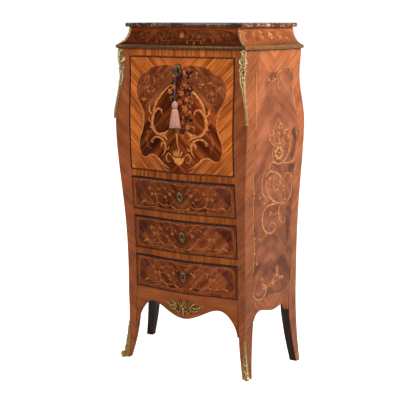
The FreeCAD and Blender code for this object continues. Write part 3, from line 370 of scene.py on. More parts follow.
# Tones run from dark to light
TULIPWOOD = ((0.2, 0.042, 0.006), (0.4, 0.098, 0.016), (0.58, 0.165, 0.034))
SIDE_FIELD_WOOD = ((0.285, 0.082, 0.036), (0.37, 0.114, 0.049), (0.45, 0.146, 0.061))
SIDEWOOD = ((0.375, 0.106, 0.036), (0.46, 0.139, 0.048), (0.55, 0.178, 0.064))
ROSEWOOD = ((0.05, 0.009, 0.002), (0.12, 0.024, 0.006), (0.24, 0.055, 0.013))
FRIEZEWOOD = ((0.09, 0.0165, 0.003), (0.165, 0.0335, 0.006), (0.25, 0.056, 0.01))
FRIEZE_SIDEWOOD = ((0.375, 0.099, 0.027), (0.46, 0.129, 0.036), (0.55, 0.166, 0.048))
DRAWERWOOD = ((0.09, 0.02, 0.006), (0.165, 0.041, 0.012), (0.25, 0.068, 0.02))
PURPLEWOOD = ((0.035, 0.008, 0.005), (0.065, 0.015, 0.009), (0.1, 0.026, 0.014))
BOXWOOD = ((0.34, 0.1, 0.022), (0.48, 0.165, 0.04), (0.62, 0.25, 0.07))
DULLWOOD = ((0.22, 0.062, 0.016), (0.32, 0.105, 0.028), (0.42, 0.155, 0.045))
REDWOOD = ((0.2, 0.034, 0.008), (0.33, 0.068, 0.014), (0.42, 0.105, 0.024))
BLACKWOOD = ((0.006, 0.003, 0.003), (0.014, 0.006, 0.006), (0.035, 0.015, 0.012))
GREENWOOD = ((0.1, 0.036, 0.008), (0.18, 0.075, 0.018), (0.26, 0.115, 0.03))
DARK_STAIN = ((0.01, 0.005, 0.003), (0.019, 0.009, 0.005), (0.034, 0.016, 0.009))
POSTWOOD = ((0.185, 0.042, 0.008), (0.225, 0.053, 0.0105), (0.27, 0.067, 0.014))
SIDE_INLAY = ((0.46, 0.19, 0.075), (0.58, 0.26, 0.11), (0.68, 0.34, 0.16))
UMBER = ((0.1, 0.025, 0.006), (0.145, 0.039, 0.009), (0.19, 0.055, 0.013))
RAILWOOD = ((0.17, 0.043, 0.009), (0.235, 0.06, 0.0125), (0.3, 0.08, 0.017))
BANDWOOD = ((0.115, 0.028, 0.007), (0.165, 0.042, 0.011), (0.22, 0.058, 0.015))
APRONWOOD = ((0.185, 0.05, 0.014), (0.23, 0.063, 0.0175), (0.275, 0.077, 0.022))
OAK = ((0.13, 0.07, 0.032), (0.22, 0.125, 0.058), (0.3, 0.18, 0.09))
# Gilt runs from painted shade in its hollows to a painted highlight on what stands out
GILT = ((0.12, 0.07, 0.024), (0.58, 0.4, 0.155), (1.0, 0.84, 0.48))
MARBLE = ((0.024, 0.01, 0.009), (0.06, 0.024, 0.02), (0.15, 0.07, 0.058))

# Settings that several veneers share
MATT = {"sheen": 0.02, "mottle": 0.5}
GLOSSY = {"sheen": 0.2, "mottle": 0.5}
# The cove's painted light and shade: lighter towards its top, darker towards its foot, no painted shade in
# its corners
COVE_FRONT_PAINTED_LIGHT = {"levels": ((1.222, 0.16), (1.245, 0.26), (1.262, 0.34), (1.282, 1.0)), "corner_shade_lightness": 1.0}
COVE_SIDE_PAINTED_LIGHT = {"levels": ((1.222, 0.36), (1.236, 0.6), (1.262, 0.7), (1.284, 1.0)), "corner_shade_lightness": 1.0}
SIDE_AXIS = 0.03
# The sides' painted shade: darker towards the foot
SIDE_FIGURE = {"centre": SIDE_AXIS, "stripe": 60.0, "sheen": 0.2, "levels": ((0.25, 0.66), (1.0, 1.0))}
UNSEEN = {"tones": DARK_STAIN, "stripe": 60.0}
BARE = {"tones": TULIPWOOD, "stripe": 60.0}
POST_FRONT = {"tones": POSTWOOD, "layout": "down", "stripe": 70.0}

MATERIALS = {
    "front": veneer("tulipwood_chevron", TULIPWOOD, "down"),
    "rail": veneer("tulipwood_crossband", toned(TULIPWOOD, 0.82)),
    # A darker copy of the top rail's tulipwood: painted shade on the rail under the fall
    "rail_shaded": veneer("tulipwood_rail_shaded", toned(TULIPWOOD, 0.58), sheen=0.03),
    "rail_plain": veneer("plain_rail", RAILWOOD, sheen=0.03),
    "apron": veneer("apron_veneer", APRONWOOD, "level", stripe=40.0, mottle=0.3, sheen=0.03),
    # Painted light: the drawers' right halves lighter than their left
    "drawer": veneer("drawer_veneer", toned(DRAWERWOOD, 0.86), "down", stripe=44.0, **MATT,
                     halves=((0.97, 0.96, 0.94), (1.26, 1.24, 1.32))),
    "drawer_band": veneer("drawer_crossband", BANDWOOD, stripe=90.0, mottle=0.5, sheen=0.03),
    "side": veneer("side_chevron", SIDEWOOD, "side_down", rest=BARE, **SIDE_FIGURE),
    "rear_post": veneer("rear_post_wood", SIDEWOOD, "side_down", rest=UNSEEN, **SIDE_FIGURE),
    # Painted shade: the side's field darkens towards the foot
    "side_field": veneer("side_reserve", SIDE_FIELD_WOOD, "side_up", centre=SIDE_AXIS, stripe=26.0, **GLOSSY,
                         levels=((0.25, 0.6), (1.0, 1.0))),
    "side_dark": veneer("side_dark", toned(SIDEWOOD, 0.37), "side_up", centre=SIDE_AXIS, stripe=40.0,
                        **GLOSSY),
    # Painted shade: the post's side faces darken towards the foot
    "front_post": veneer("front_post_wood", toned(SIDEWOOD, 0.75), "side_down", centre=-0.2, stripe=80.0,
                         sheen=0.2, levels=((0.25, 0.7), (1.0, 1.0)), rest=POST_FRONT, least=0.75),
    # Painted light: the reserve's right half lighter, its left half in painted shade
    "reserve": veneer("rosewood_reserve", ROSEWOOD, "up", sheen=0.02, stripe=45.0, mottle=0.4,
                      halves=((0.8, 0.76, 0.66), (1.24, 1.14, 0.95))),
    "lobe": veneer("fall_lobe", toned(DRAWERWOOD, 1.15), "up", stripe=60.0, **MATT),
    "frieze": veneer("frieze_veneer", toned(FRIEZEWOOD, 2.1), "level", stripe=60.0, **MATT, **COVE_FRONT_PAINTED_LIGHT),
    "frieze_field": veneer("frieze_field_veneer", toned(FRIEZEWOOD, 1.8), "up", stripe=40.0, **MATT,
                           **COVE_FRONT_PAINTED_LIGHT),
    "frieze_side_field": veneer("frieze_side_field", toned(FRIEZE_SIDEWOOD, 0.96), "side_up", stripe=40.0,
                                **GLOSSY, **COVE_SIDE_PAINTED_LIGHT),
    "frieze_side": veneer("frieze_side_veneer", toned(FRIEZE_SIDEWOOD, 1.34), "side_level", stripe=60.0,
                          mottle=0.4, sheen=0.2, **COVE_SIDE_PAINTED_LIGHT),
    "corner": veneer("purple_corner", toned(PURPLEWOOD, 1.55), "down", stripe=70.0, sheen=0.02),
    "light": inlay_wood("boxwood", BOXWOOD),
    "pale": inlay_wood("pale_boxwood", SIDE_INLAY),
    "umber": inlay_wood("umber_wood", UMBER),
    "dull": inlay_wood("dull_boxwood", DULLWOOD),
    "red": inlay_wood("stained_red", REDWOOD),
    "green": inlay_wood("stained_green", GREENWOOD),
    "black": inlay_wood("blackwood", BLACKWOOD),
    "rose": inlay_wood("rosewood", ROSEWOOD),
    "oak": veneer("plain_oak", OAK, "level", stripe=55.0, roughness=0.6),
    "oak_back": veneer("back_boards", OAK, stripe=45.0, roughness=0.7, mottle=0.5),
    "inside": veneer("inner_veneer", TULIPWOOD, "level", stripe=70.0),
    "inside_upright": veneer("inner_upright", TULIPWOOD, stripe=80.0),
    # The left tints are painted shade on the left mounts
    "gilt": gilt("gilt_bronze", left=(0.6, 0.5, 0.34)),
    "gilt_hollow": gilt("hollow_bronze", (0.34, 0.27, 0.19), left=(0.8, 0.7, 0.55)),
    "gilt_plate": gilt("plate_bronze", (0.9, 0.8, 0.56)),
    # A brighter, less metallic copy of the gilt: painted highlight on the cast relief at the corners
    "gilt_bright": gilt("bronze_painted_highlight", (2.4, 2.1, 2.5), left=(0.46, 0.42, 0.3), metallic=0.1),
    "gilt_mount": gilt("mount_bronze", (0.6, 0.48, 0.34), left=(0.42, 0.38, 0.3)),
    "gilt_shoe": gilt("shoe_bronze", (0.36, 0.25, 0.14), left=(0.9, 0.85, 0.75)),
    "gilt_dark": gilt("bronze_painted_shade", (0.27, 0.21, 0.13)),
    "plate_ground": gilt("plate_ground", (0.06, 0.045, 0.026)),
    # Painted light: the moulding is lighter on the faces that look out to the sides
    "moulding": gilt("moulding_bronze", (0.14, 0.085, 0.055), side=(3.6, 3.9, 4.4)),
    "brass": metal("brass", ((0.38, 0.25, 0.08), (0.62, 0.45, 0.18)), 0.35),
    "steel": metal("dark_steel", ((0.03, 0.028, 0.027), (0.09, 0.085, 0.08)), 0.45),
    "marble": marble(),
    "leather": leather(),
    "cord": silk("dark_cord", ((0.012, 0.009, 0.012), (0.04, 0.03, 0.034)), 260.0),
    "silk": silk("pink_silk", ((0.3, 0.115, 0.075), (0.52, 0.22, 0.15)), 40.0),
}

# The finish of each piece; those in the second list come in pairs and those in the third in each drawer
NODE_FINISH = {
    "back_panel": "oak_back", "desk_floor": "rail_shaded", "drawer_divider_1": "rail_plain",
    "drawer_divider_2": "rail_plain", "bottom_board": "oak", "top_rail": "rail", "top_board": "oak",
    "apron": "apron", "drawer_guides": "oak", "frieze_front": "frieze", "brass_moulding": "moulding",
    "marble_top": "marble", "pivot_plates": "brass", "strike_plate": "brass", "desk_bed": "inside",
    "nest_sides": "inside_upright", "nest_shelves": "inside", "nest_dividers": "inside_upright",
    "fall_panel": "front", "writing_leather": "leather", "fall_pivots": "brass", "fall_lock": "brass",
    "lock_bolt": "steel", "key": "steel", "tassel_loop": "cord", "tassel": "silk",
    "cove_mounts": "gilt_hollow", "apron_mount": "gilt_plate", "sabots": "gilt_shoe",
    "fall_escutcheon": "plate_ground",
}
PAIR_FINISH = {
    "front_post": "front_post", "rear_post": "rear_post", "side_panel": "side", "frieze": "frieze_side",
    "nest_drawer": "inside", "nest_knob": "brass", "corner_mount": "gilt_mount",
}
DRAWER_FINISH = {
    "front": "drawer_band", "sides": "oak", "bottom": "oak", "lock": "brass", "escutcheon": "plate_ground",
}


def dress_nodes():
    finishes = dict(NODE_FINISH)
    for _, side in SIDES:
        finishes.update({f"{name}_{side}": finish for name, finish in PAIR_FINISH.items()})
    for number in DRAWER_LEVELS:
        finishes.update({f"drawer_{number}_{name}": finish for name, finish in DRAWER_FINISH.items()})
    for name, finish in finishes.items():
        mesh = nodes[name].data
        mesh.materials.clear()
        mesh.materials.append(MATERIALS[finish])


def new_object(name, data):
    made = bpy.data.objects.new(name, data)
    bpy.context.collection.objects.link(made)
    return made


def make_camera():
    data = bpy.data.cameras.new("camera")
    data.lens = CAMERA_LENS
    data.shift_x, data.shift_y = CAMERA_SHIFT
    data.clip_end = CAMERA_REACH
    camera = new_object("camera", data)
    camera.location = CAMERA_PLACE
    camera.rotation_euler = (math.radians(90.0 - CAMERA_DIP), 0.0, math.radians(CAMERA_YAW))
    bpy.context.scene.camera = camera


def make_lamp(name, place, target, size, power, colour):
    data = bpy.data.lights.new(name, "AREA")
    data.shape = "DISK"
    data.size = size
    data.energy = power
    data.color = colour
    lamp = new_object(name, data)
    lamp.location = place
    lamp.rotation_euler = (Vector(target) - Vector(place)).to_track_quat("-Z", "Y").to_euler()


def make_studio():
    """A pale floor, an even pale surround and two large soft lamps, the nearer one on the right."""
    scene = bpy.context.scene
    scene.view_settings.view_transform = "Standard"
    scene.world = bpy.data.worlds.new("studio")
    scene.world.use_nodes = True
    surround = Nodes(scene.world.node_tree)
    background = surround.tree.nodes["Background"]
    surround.put(background, "Color", SURROUND_COLOUR)
    surround.put(background, "Strength", surround.maths("ADD", surround.seen(SURROUND_SEEN), SURROUND_LIGHT))
    for lamp in LAMPS:
        make_lamp(*lamp)

    corners = ((-1, -1), (1, -1), (1, 1), (-1, 1))
    mesh = bpy.data.meshes.new("floor")
    mesh.from_pydata([(FLOOR_REACH * x, FLOOR_REACH * y, 0.0) for x, y in corners], [], [(0, 1, 2, 3)])
    paper = Look("floor_paper", roughness=0.9)
    speck = paper.add("TexNoise", {"Scale": 3.0, "Detail": 2.0}).outputs["Fac"]
    paper.set("Base Color", paper.ramp(speck, ((0.3, (0.8,) * 3), (0.7, (0.83,) * 3))))
    paper.set("Emission Color", WHITE)
    paper.set("Emission Strength", paper.seen(FLOOR_GLOW))
    mesh.materials.append(paper.material)
    floor = new_object("floor", mesh)


class Shape:
    """Points and faces gathered for one mesh, each face with the name of its material."""

    def __init__(self):
        self.points, self.faces, self.finishes = [], [], []

    def add(self, points, faces, finish):
        first = len(self.points)
        self.points += [tuple(p) for p in points]
        self.faces += [tuple(first + i for i in face) for face in faces]
        self.finishes += [finish] * len(faces)

    def grid(self, rows, finish, closed=False, ends=False):
        """A skin over rows of points, each row as long as the next; closed joins each row's ends."""
        width = len(rows[0])
        faces = []
        for i in range(len(rows) - 1):
            for j in range(width if closed else width - 1):
                k = (j + 1) % width
                faces.append((i * width + j, i * width + k, (i + 1) * width + k, (i + 1) * width + j))
        if ends:
            faces.append(tuple(reversed(range(width))))
            faces.append(tuple(range((len(rows) - 1) * width, len(rows) * width)))
        self.add([p for row in rows for p in row], faces, finish)

    def tube(self, path, radii, finish):
        """A round tube with closed ends along a path."""
        path = [Vector(place) for place in path]
        corners = [Vector((math.cos(a), math.sin(a), 0.0)) for a in circle(THREAD_SIDES)]
        rows = []
        for i, place in enumerate(path):
            ahead = path[min(i + 1, len(path) - 1)] - path[max(i - 1, 0)]
            turn = ahead.to_track_quat("Z", "X").to_matrix()
            rows.append([place + turn @ corner * radii[i] for corner in corners])
        self.grid(rows, finish, closed=True, ends=True)

    def make(self, name, body, slot, thickness=0.0, replaces=()):
        """The mesh object, riding on its body."""
        mesh = bpy.data.meshes.new(name)
        mesh.from_pydata(self.points, [], self.faces)
        used = sorted(set(self.finishes))
        for finish in used:
            mesh.materials.append(MATERIALS[finish])
        for face, finish in zip(mesh.polygons, self.finishes):
            face.material_index = used.index(finish)
            face.use_smooth = True
        obj = new_object(name, mesh)
        if thickness:
            skin = obj.modifiers.new("thickness", "SOLIDIFY")
            skin.thickness = thickness
            skin.offset = -1.0
        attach(obj, body)
        if replaces:
            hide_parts(*replaces)


def make_cord():
    """The tassel's cord as a smooth line, with the tassel that it carries."""
    data = bpy.data.curves.new("tassel_line", "CURVE")
    data.dimensions = "3D"
    data.bevel_depth = CORD_DIAMETER / 2.0
    data.bevel_resolution = 4
    data.use_fill_caps = True
    spline = data.splines.new("NURBS")
    spline.points.add(len(CORD_ROUTE) - 1)
    for place, target in zip(CORD_ROUTE, spline.points):
        target.co = (*place, 1.0)
    spline.order_u = 3
    spline.use_endpoint_u = True
    data.materials.append(MATERIALS["cord"])
    cord = new_object("tassel_line", data)
    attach(cord, "tassel")
    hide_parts("tassel_cord")
    make_tassel_threads()


def make_tassel_threads():
    """What covers the tassel's solid: a wound head, a bound neck and a skirt of separate threads."""
    shape = Shape()
    x, y, top = CORD_ROUTE[-1]
    neck = top - TASSEL_HEAD

    def place(angle, reach, z, spread=1.0):
        return (x + spread * reach * math.cos(angle), y + reach * math.sin(angle), z)

    for start in circle(HEAD_THREADS):
        path = []
        for share in shares(len(HEAD_RADII)):
            reach = 0.0018 + 0.0084 * math.sin(math.pi * share * 0.8) ** 0.8
            path.append(place(start + 0.9 * share, reach, top - TASSEL_HEAD * share))
        shape.tube(path, HEAD_RADII, "silk")
    for lift in BINDING_LIFTS:
        ring = [place(angle, BINDING_REACH, neck + lift) for angle in circle(BINDING_STEPS, 1)]
        shape.tube(ring, [BINDING_RADIUS] * len(ring), "cord")
    for k in range(SKIRT_THREADS):
        angle = TURN * (k + rng.uniform(-0.25, 0.25)) / SKIRT_THREADS
        length = TASSEL_SKIRT + rng.uniform(-0.002, 0.003)
        sway = rng.uniform(-0.08, 0.08)
        path = []
        for share in shares(len(SKIRT_RADII)):
            reach = TASSEL_NECK_RADIUS + (TASSEL_RADIUS - TASSEL_NECK_RADIUS) * share ** 0.45 - 0.0003
            spread = 1.0 + (TASSEL_SPREAD - 1.0) * share
            path.append(place(angle + sway * share * share, reach, neck - length * share, spread))
        shape.tube(path, SKIRT_RADII, "silk")
    shape.make("tassel_threads", "tassel", "tassel_silk")


def shares(count):
    """Numbers from 0 to 1."""
    return [k / (count - 1) for k in range(count)]


def circle(count, more=0):
    """Angles round a circle, and more of them beyond the last."""
    return [TURN * k / count for k in range(count + more)]


def about(centre, reach, angle):
    """The flat place at a distance and an angle from a centre."""
    return (centre[0] + reach * math.cos(angle), centre[1] + reach * math.sin(angle))


def spiral(centre, radius, start, turns, steps, shrink):
    """A line that winds in to its centre, with so many steps in a turn.

    start is in degrees, turns below 0 wind clockwise, and shrink is how much of the radius is lost.
    """
    return [about(centre, radius * (1.0 - shrink * share), math.radians(start) + TURN * turns * share)
            for share in shares(int(abs(turns) * steps) + 1)]


def spine(base, tip, bend):
    """A bent line from base to tip, and how far apart they are."""
    base, tip = Vector(base), Vector(tip)
    off = Vector((base.y - tip.y, tip.x - base.x))
    return [base, (base + tip) / 2.0 + off * bend, tip], off.length


def smooth(points, step=4.0, closed=False):
    """Flat points about a step apart on a smooth line through the given ones."""
    count = len(points)
    found = []
    for i in range(count if closed else count - 1):
        if closed:
            before, start, end, after = (Vector(points[(i + k) % count]) for k in (-1, 0, 1, 2))
        else:
            start, end = Vector(points[i]), Vector(points[i + 1])
            before = Vector(points[i - 1]) if i else 2.0 * start - end
            after = Vector(points[i + 2]) if i + 2 < count else 2.0 * end - start
        pieces = max(2, round((end - start).length / step))
        for k in range(pieces):
            t = k / pieces
            found.append(0.5 * (2.0 * start + (end - before) * t
                                + (2.0 * before - 5.0 * start + 4.0 * end - after) * t * t
                                + (3.0 * start - before - 3.0 * end + after) * t ** 3))
    if not closed:
        found.append(Vector(points[-1]))
    return found


def walk(path, closed=False):
    """Each place on a path, with the direction to its left and its share of the way."""
    last = len(path) - 1
    found = []
    for i, place in enumerate(path):
        ahead = path[min(i + 1, last)] - path[max(i - 1, 0)]
        if closed and i in (0, last):
            ahead = path[1] - path[-2]
        found.append((place, Vector((-ahead.y, ahead.x)).normalized(), i / last))
    return found


def along(values, share):
    """The value at a share of the way through a list of values."""
    place = share * (len(values) - 1)
    low = min(int(place), len(values) - 2)
    return values[low] + (values[low + 1] - values[low]) * (place - low)


def inside(place, outline):
    """Whether a flat place lies inside a closed outline."""
    x, y = place
    found = False
    for i, (x1, y1) in enumerate(outline):
        x0, y0 = outline[i - 1]
        if (y0 > y) != (y1 > y) and x < (x1 - x0) * (y - y0) / (y1 - y0) + x0:
            found = not found
    return found


def whole(right, head, foot, level=0.0):
    """A closed outline from its right half and the heights of its middle at head and foot."""
    left = [(-x, z) for x, z in reversed(right)]
    return [(x, level + z) for x, z in [(0, head)] + right + [(0, foot)] + left]


def flat_box(name):
    """The lowest and the highest (x, z) of a piece, in millimetres."""
    return [(corner[0] / MM, corner[2] / MM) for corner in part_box(name)]


# The scorched side of a piece of inlay
SHADES = {"light": "dull", "pale": "light", "red": "rose", "dull": "red", "green": "rose"}


class Drawing:
    """A drawing laid on faces of the model. Flat places (u, z) in millimetres become points on the faces.

    look is the level direction in which the faces are seen, and across the direction in which u grows. rise
    lifts the whole drawing, and cast is the finish of what is in relief.
    """

    def __init__(self, names, look=(0.0, 1.0, 0.0), across=(1.0, 0.0, 0.0), rise=0.0, cast=None):
        self.shape = Shape()
        self.look, self.across, self.rise, self.cast = Vector(look), Vector(across), rise, cast
        self.trees = []
        for name in names:
            mesh = nodes[name].data
            places = [v.co for v in mesh.vertices]
            self.trees.append(BVHTree.FromPolygons(places, [f.vertices for f in mesh.polygons]))

    def flat(self, u, z):
        return self.across * (u * MM) + Vector((0.0, 0.0, (z + self.rise) * MM))

    def hit(self, u, z):
        """The nearest point of the faces at a flat place and its outward direction, or None."""
        start = self.flat(u, z) - self.look
        found = [tree.ray_cast(start, self.look) for tree in self.trees]
        found = [f for f in found if f[0] is not None]
        if not found:
            return None
        place, normal = min(found, key=lambda f: f[3])[:2]
        return place, normal if normal.dot(self.look) < 0.0 else -normal

    def on(self, place, lift):
        """The point that lies above the faces, or above what is nearest, at a flat place."""
        found = self.hit(*place)
        if found is None:
            start = self.flat(*place) - 0.2 * self.look
            near = min((tree.find_nearest(start) for tree in self.trees), key=lambda f: f[3])
            found = near[0], -self.look
        return found[0] + found[1] * lift

    def area(self, outline, finish, lift=INLAY_LIFT, step=11.0, ready=False):
        """A shaped field of veneer; a ready outline isn't smoothed."""
        edge = [tuple(p) for p in (outline if ready else smooth(outline, 6.0, closed=True))]
        low_u, low_z = map(min, zip(*edge))
        high_u, high_z = map(max, zip(*edge))
        flat = list(edge)
        z = low_z + step / 2.0
        while z < high_z:
            u = low_u + step / 2.0
            while u < high_u:
                if inside((u, z), edge):
                    flat.append((u, z))
                u += step
            z += step
        count = len(edge)
        ring = [(i, (i + 1) % count) for i in range(count)]
        cut = delaunay_2d_cdt([Vector(p) for p in flat], ring, [], 1, 1e-4)
        self.shape.add([self.on(p, lift) for p in cut[0]], cut[2], finish)

    def ribbon(self, points, widths, finish="light", lift=LINE_LIFT, closed=False, step=4.0):
        """A line of inlay whose width runs through the given widths, scorched on one side."""
        path = smooth(points, step, closed)
        if closed:
            path = path + path[:1]
        rows = []
        for place, left, share in walk(path, closed):
            off = left * along(widths, share) / 2.0
            rows.append([self.on(place + off * part, lift) for part in (1.0, -0.2, -1.0)])
        self.shape.grid([row[:2] for row in rows], finish)
        self.shape.grid([row[1:] for row in rows], SHADES.get(finish, finish))

    def band(self, low, high, widths, finish="black", step=12.0, drop=0.0):
        """Straight lines at the left, right, top and foot of a box, the top one lowered by drop."""
        (left, foot), (right, head) = low, high
        paths = ([(left, foot), (left, head)], [(right, foot), (right, head)],
                 [(left, head - drop), (right, head - drop)], [(left, foot), (right, foot)])
        for path, width in zip(paths, widths):
            self.ribbon(path, [width, width], finish, INLAY_LIFT, step=step)

    def leaf(self, base, tip, width, finish, bend=0.15, lift=BLOOM_LIFT):
        """A pointed leaf with a bent spine."""
        line, length = spine(base, tip, bend)
        widths = [0.4, 0.8 * width, width, 0.7 * width, 0.3]
        self.ribbon(line, widths, finish, lift, step=max(2.0, length / 7.0))

    def flower(self, centre, radius, finish, heart, petals=6, turn=0.3):
        """A round flower of leaf-shaped petals about a heart."""
        middle = Vector(centre)
        for angle in circle(petals):
            way = Vector((math.cos(turn + angle), math.sin(turn + angle)))
            self.leaf(middle + way * radius * 0.18, middle + way * radius, radius * 0.72, finish, 0.0)
        rim = [middle + Vector((math.cos(a), math.sin(a))) * radius * 0.3 for a in circle(8)]
        self.area(rim, heart, HEART_LIFT, step=50.0, ready=True)

    def spray(self, points, leaf, finishes, width, stem, bloom=None):
        """A stem with leaves on both sides of it and, where bloom is its radius, a flower at its end."""
        self.ribbon(points, [width, width, 0.7 * width], stem)
        path = smooth(points, 3.0)
        count = max(3, len(path) // 4)
        for k in range(count):
            i = min(len(path) - 2, int((k + 0.6) / count * len(path)))
            turn = 1.0 if k % 2 else -1.0
            ahead = (path[i + 1] - path[i]).normalized()
            side = Vector((-ahead.y, ahead.x)) * turn
            size = leaf * (0.75 + 0.5 * rng.random())
            tip = path[i] + (0.65 * ahead + 0.75 * side) * size
            self.leaf(path[i], tip, size * 0.42, finishes[k % len(finishes)], 0.12 * turn)
        if bloom:
            self.flower(path[-1], bloom, finishes[0], finishes[-1])

    def draw(self, fields=(), lines=(), curls=(), leaves=(), sprays=(), flowers=(), line="light",
             halves=(1, -1), middle=0.0, level=0.0):
        """Pieces of inlay; half -1 mirrors them about the middle, and level raises them.

        A line has points and widths, and line is its finish. A curl has a centre, radius, first angle, turns
        and widths, and a leaf a base, tip, width, finish and bend. Sprays and flowers hold what spray and
        flower take.
        """
        for half in halves:
            def at(places):
                return [(middle + half * u, level + z) for u, z in places]

            for outline, finish in fields:
                self.area(at(outline), finish, DARK_LIFT)
            for points, widths in lines:
                self.ribbon(at(points), widths, line)
            for centre, radius, start, turns, widths in curls:
                start = 90.0 + half * (start - 90.0)
                winding = spiral(*at([centre]), radius, start, half * turns, steps=14, shrink=0.8)
                self.ribbon(winding, widths, line, step=3.0)
            for base, tip, width, finish, bend in leaves:
                self.leaf(*at([base, tip]), width, finish, half * bend)
            for points, *rest in sprays:
                self.spray(at(points), *rest)
            for centre, *rest in flowers:
                self.flower(*at([centre]), *rest)

    def relief(self, rows, edge):
        """A cast skin with painted shade: dark in as many strips on each side as edge says."""
        self.shape.grid([row[:edge + 1] for row in rows], "gilt_dark")
        self.shape.grid([row[edge:-edge] for row in rows], self.cast)
        self.shape.grid([row[-edge - 1:] for row in rows], "gilt_dark")

    def boss(self, base, tip, width, height, lobes=4, bend=0.0, rib=0.45):
        """A cast leaf in relief, with lobed edges that sink into what carries it."""
        line, length = spine(base, tip, bend)
        rows = []
        for place, left, share in walk(smooth(line, max(0.8, length / 16.0))):
            swell = math.sin(math.pi * (0.08 + 0.92 * share) ** 0.75) ** 0.8
            half = 0.5 * width * max(0.05, swell) * (1.0 + 0.22 * math.cos(TURN * lobes * share))
            row = []
            for k in range(9):
                t = k / 4.0 - 1.0
                crest = (1.0 - abs(t) ** 2.2) * (1.0 - rib * math.exp(-(t / 0.16) ** 2))
                crest *= 1.0 + 0.25 * math.cos(TURN * (lobes * share - 0.6 * abs(t)))
                lift = (height * max(0.12, swell) * crest - SINK) * MM
                row.append(self.on(place + left * (t * half), lift))
            rows.append(row)
        self.relief(rows, 2)

    def cast_line(self, points, radii, height):
        """A rounded cast scroll in relief along a line."""
        rows = []
        for place, left, share in walk(smooth(points, 2.0)):
            side = left * along(radii, share)
            row = []
            for k in range(7):
                t = k / 3.0 - 1.0
                crest = math.sqrt(max(0.0, 1.0 - t * t)) * (1.0 - 0.3 * math.exp(-(t / 0.25) ** 2))
                row.append(self.on(place + side * t, (height * crest - SINK) * MM))
            rows.append(row)
        self.relief(rows, 1)

    def cast_curl(self, centre, radius, start, turns, thick, height):
        points = spiral(centre, radius, start, turns, steps=16, shrink=0.78)
        self.cast_line(points, [0.4 * thick, thick, thick, 0.8 * thick, thick], height)

    def bead(self, centre, radius, height):
        """A round cast boss."""
        rows = []
        for share in shares(5):
            reach = radius * math.sin(math.pi / 2.0 * share)
            lift = (height * math.cos(math.pi / 2.0 * share) - 0.4 * share) * MM
            rows.append([self.on(about(centre, reach, angle), lift) for angle in circle(12)])
        self.shape.grid(rows, self.cast, closed=True)


# The right half of what lies on the fall, in millimetres
FALL_RISE = 8.6
FALL_RESERVE = [
    (36, 1138), (84, 1137), (120, 1128), (136, 1112), (162, 1103), (181, 1078), (187, 1046), (179, 1016),
    (160, 988), (147, 955), (153, 915), (170, 880), (178, 845), (170, 812), (149, 795), (122, 806), (96, 800),
    (66, 772), (36, 753)]
FALL_LOBE = [
    (30, 1134), (84, 1136), (119, 1127), (136, 1111), (162, 1102), (180, 1077), (186, 1046), (178, 1016),
    (160, 989), (134, 976), (112, 984), (97, 1005), (78, 1031), (54, 1056), (34, 1074), (22, 1100)]
FALL_LINES = (
    ([(190, 1010), (174, 996), (160, 968), (154, 935), (160, 900), (172, 868), (177, 838), (168, 810)],
     [1.5, 3.5, 5.0, 6.0, 5.0, 4.0, 2.0]),
    ([(66, 960), (72, 977), (90, 980), (108, 958), (114, 925), (103, 899), (80, 886), (46, 886)],
     [3.0, 7.5, 11.0, 13.0, 13.0, 11.0, 8.0, 2.0]),
    ([(14, 1069), (32, 1068), (54, 1052), (78, 1028), (97, 1002), (110, 970)],
     [2.0, 4.5, 7.5, 9.0, 9.0, 6.0]),
    ([(114, 860), (104, 873), (84, 876), (64, 866), (54, 848), (56, 828), (68, 808)],
     [5.0, 7.0, 8.5, 9.0, 8.0, 6.0, 2.0]),
    ([(160, 800), (146, 796), (122, 808), (96, 802), (66, 776), (40, 762)], [2.0, 4.5, 6.0, 5.5, 4.5, 2.0]),
    ([(24, 806), (40, 820), (52, 806), (46, 788), (34, 790)], [3.0, 4.5, 4.0, 2.0]),
)
FALL_CURLS = (
    ((184, 1016), 11.0, -70.0, 0.8, [3.0, 2.0]),
    ((20, 1060), 11.0, 90.0, 0.75, [3.0, 2.0]),
    ((112, 858), 8.0, 90.0, -0.8, [4.0, 2.0]),
)
FALL_LEAVES = (
    ((112, 955), (124, 992), 9.0, "light", -0.2), ((114, 925), (126, 952), 8.0, "dull", -0.2),
    ((104, 900), (128, 912), 8.0, "light", 0.2), ((84, 888), (36, 906), 13.0, "light", 0.15),
    ((86, 886), (42, 866), 13.0, "light", -0.15), ((60, 860), (74, 838), 8.0, "light", 0.2),
    ((56, 832), (36, 846), 8.0, "dull", 0.2),
)
FALL_SPRAYS = (
    ([(128, 1000), (150, 1030), (146, 1068), (120, 1092)],
     22.0, ("umber", "dull", "rose"), 1.6, "dull", 14.0),
    ([(110, 1010), (118, 1046), (100, 1080), (72, 1098)],
     21.0, ("umber", "rose", "dull"), 1.6, "dull", 13.0),
    ([(150, 1060), (165, 1078)], 18.0, ("umber", "rose"), 1.6, "dull", 11.0),
    ([(130, 900), (140, 860), (128, 830)], 13.0, ("red", "rose"), 1.4, "light"),
)
FALL_FLOWERS = (((88, 1062), 13.0, "umber", "dull", 5), ((134, 1042), 12.0, "red", "dull", 5))
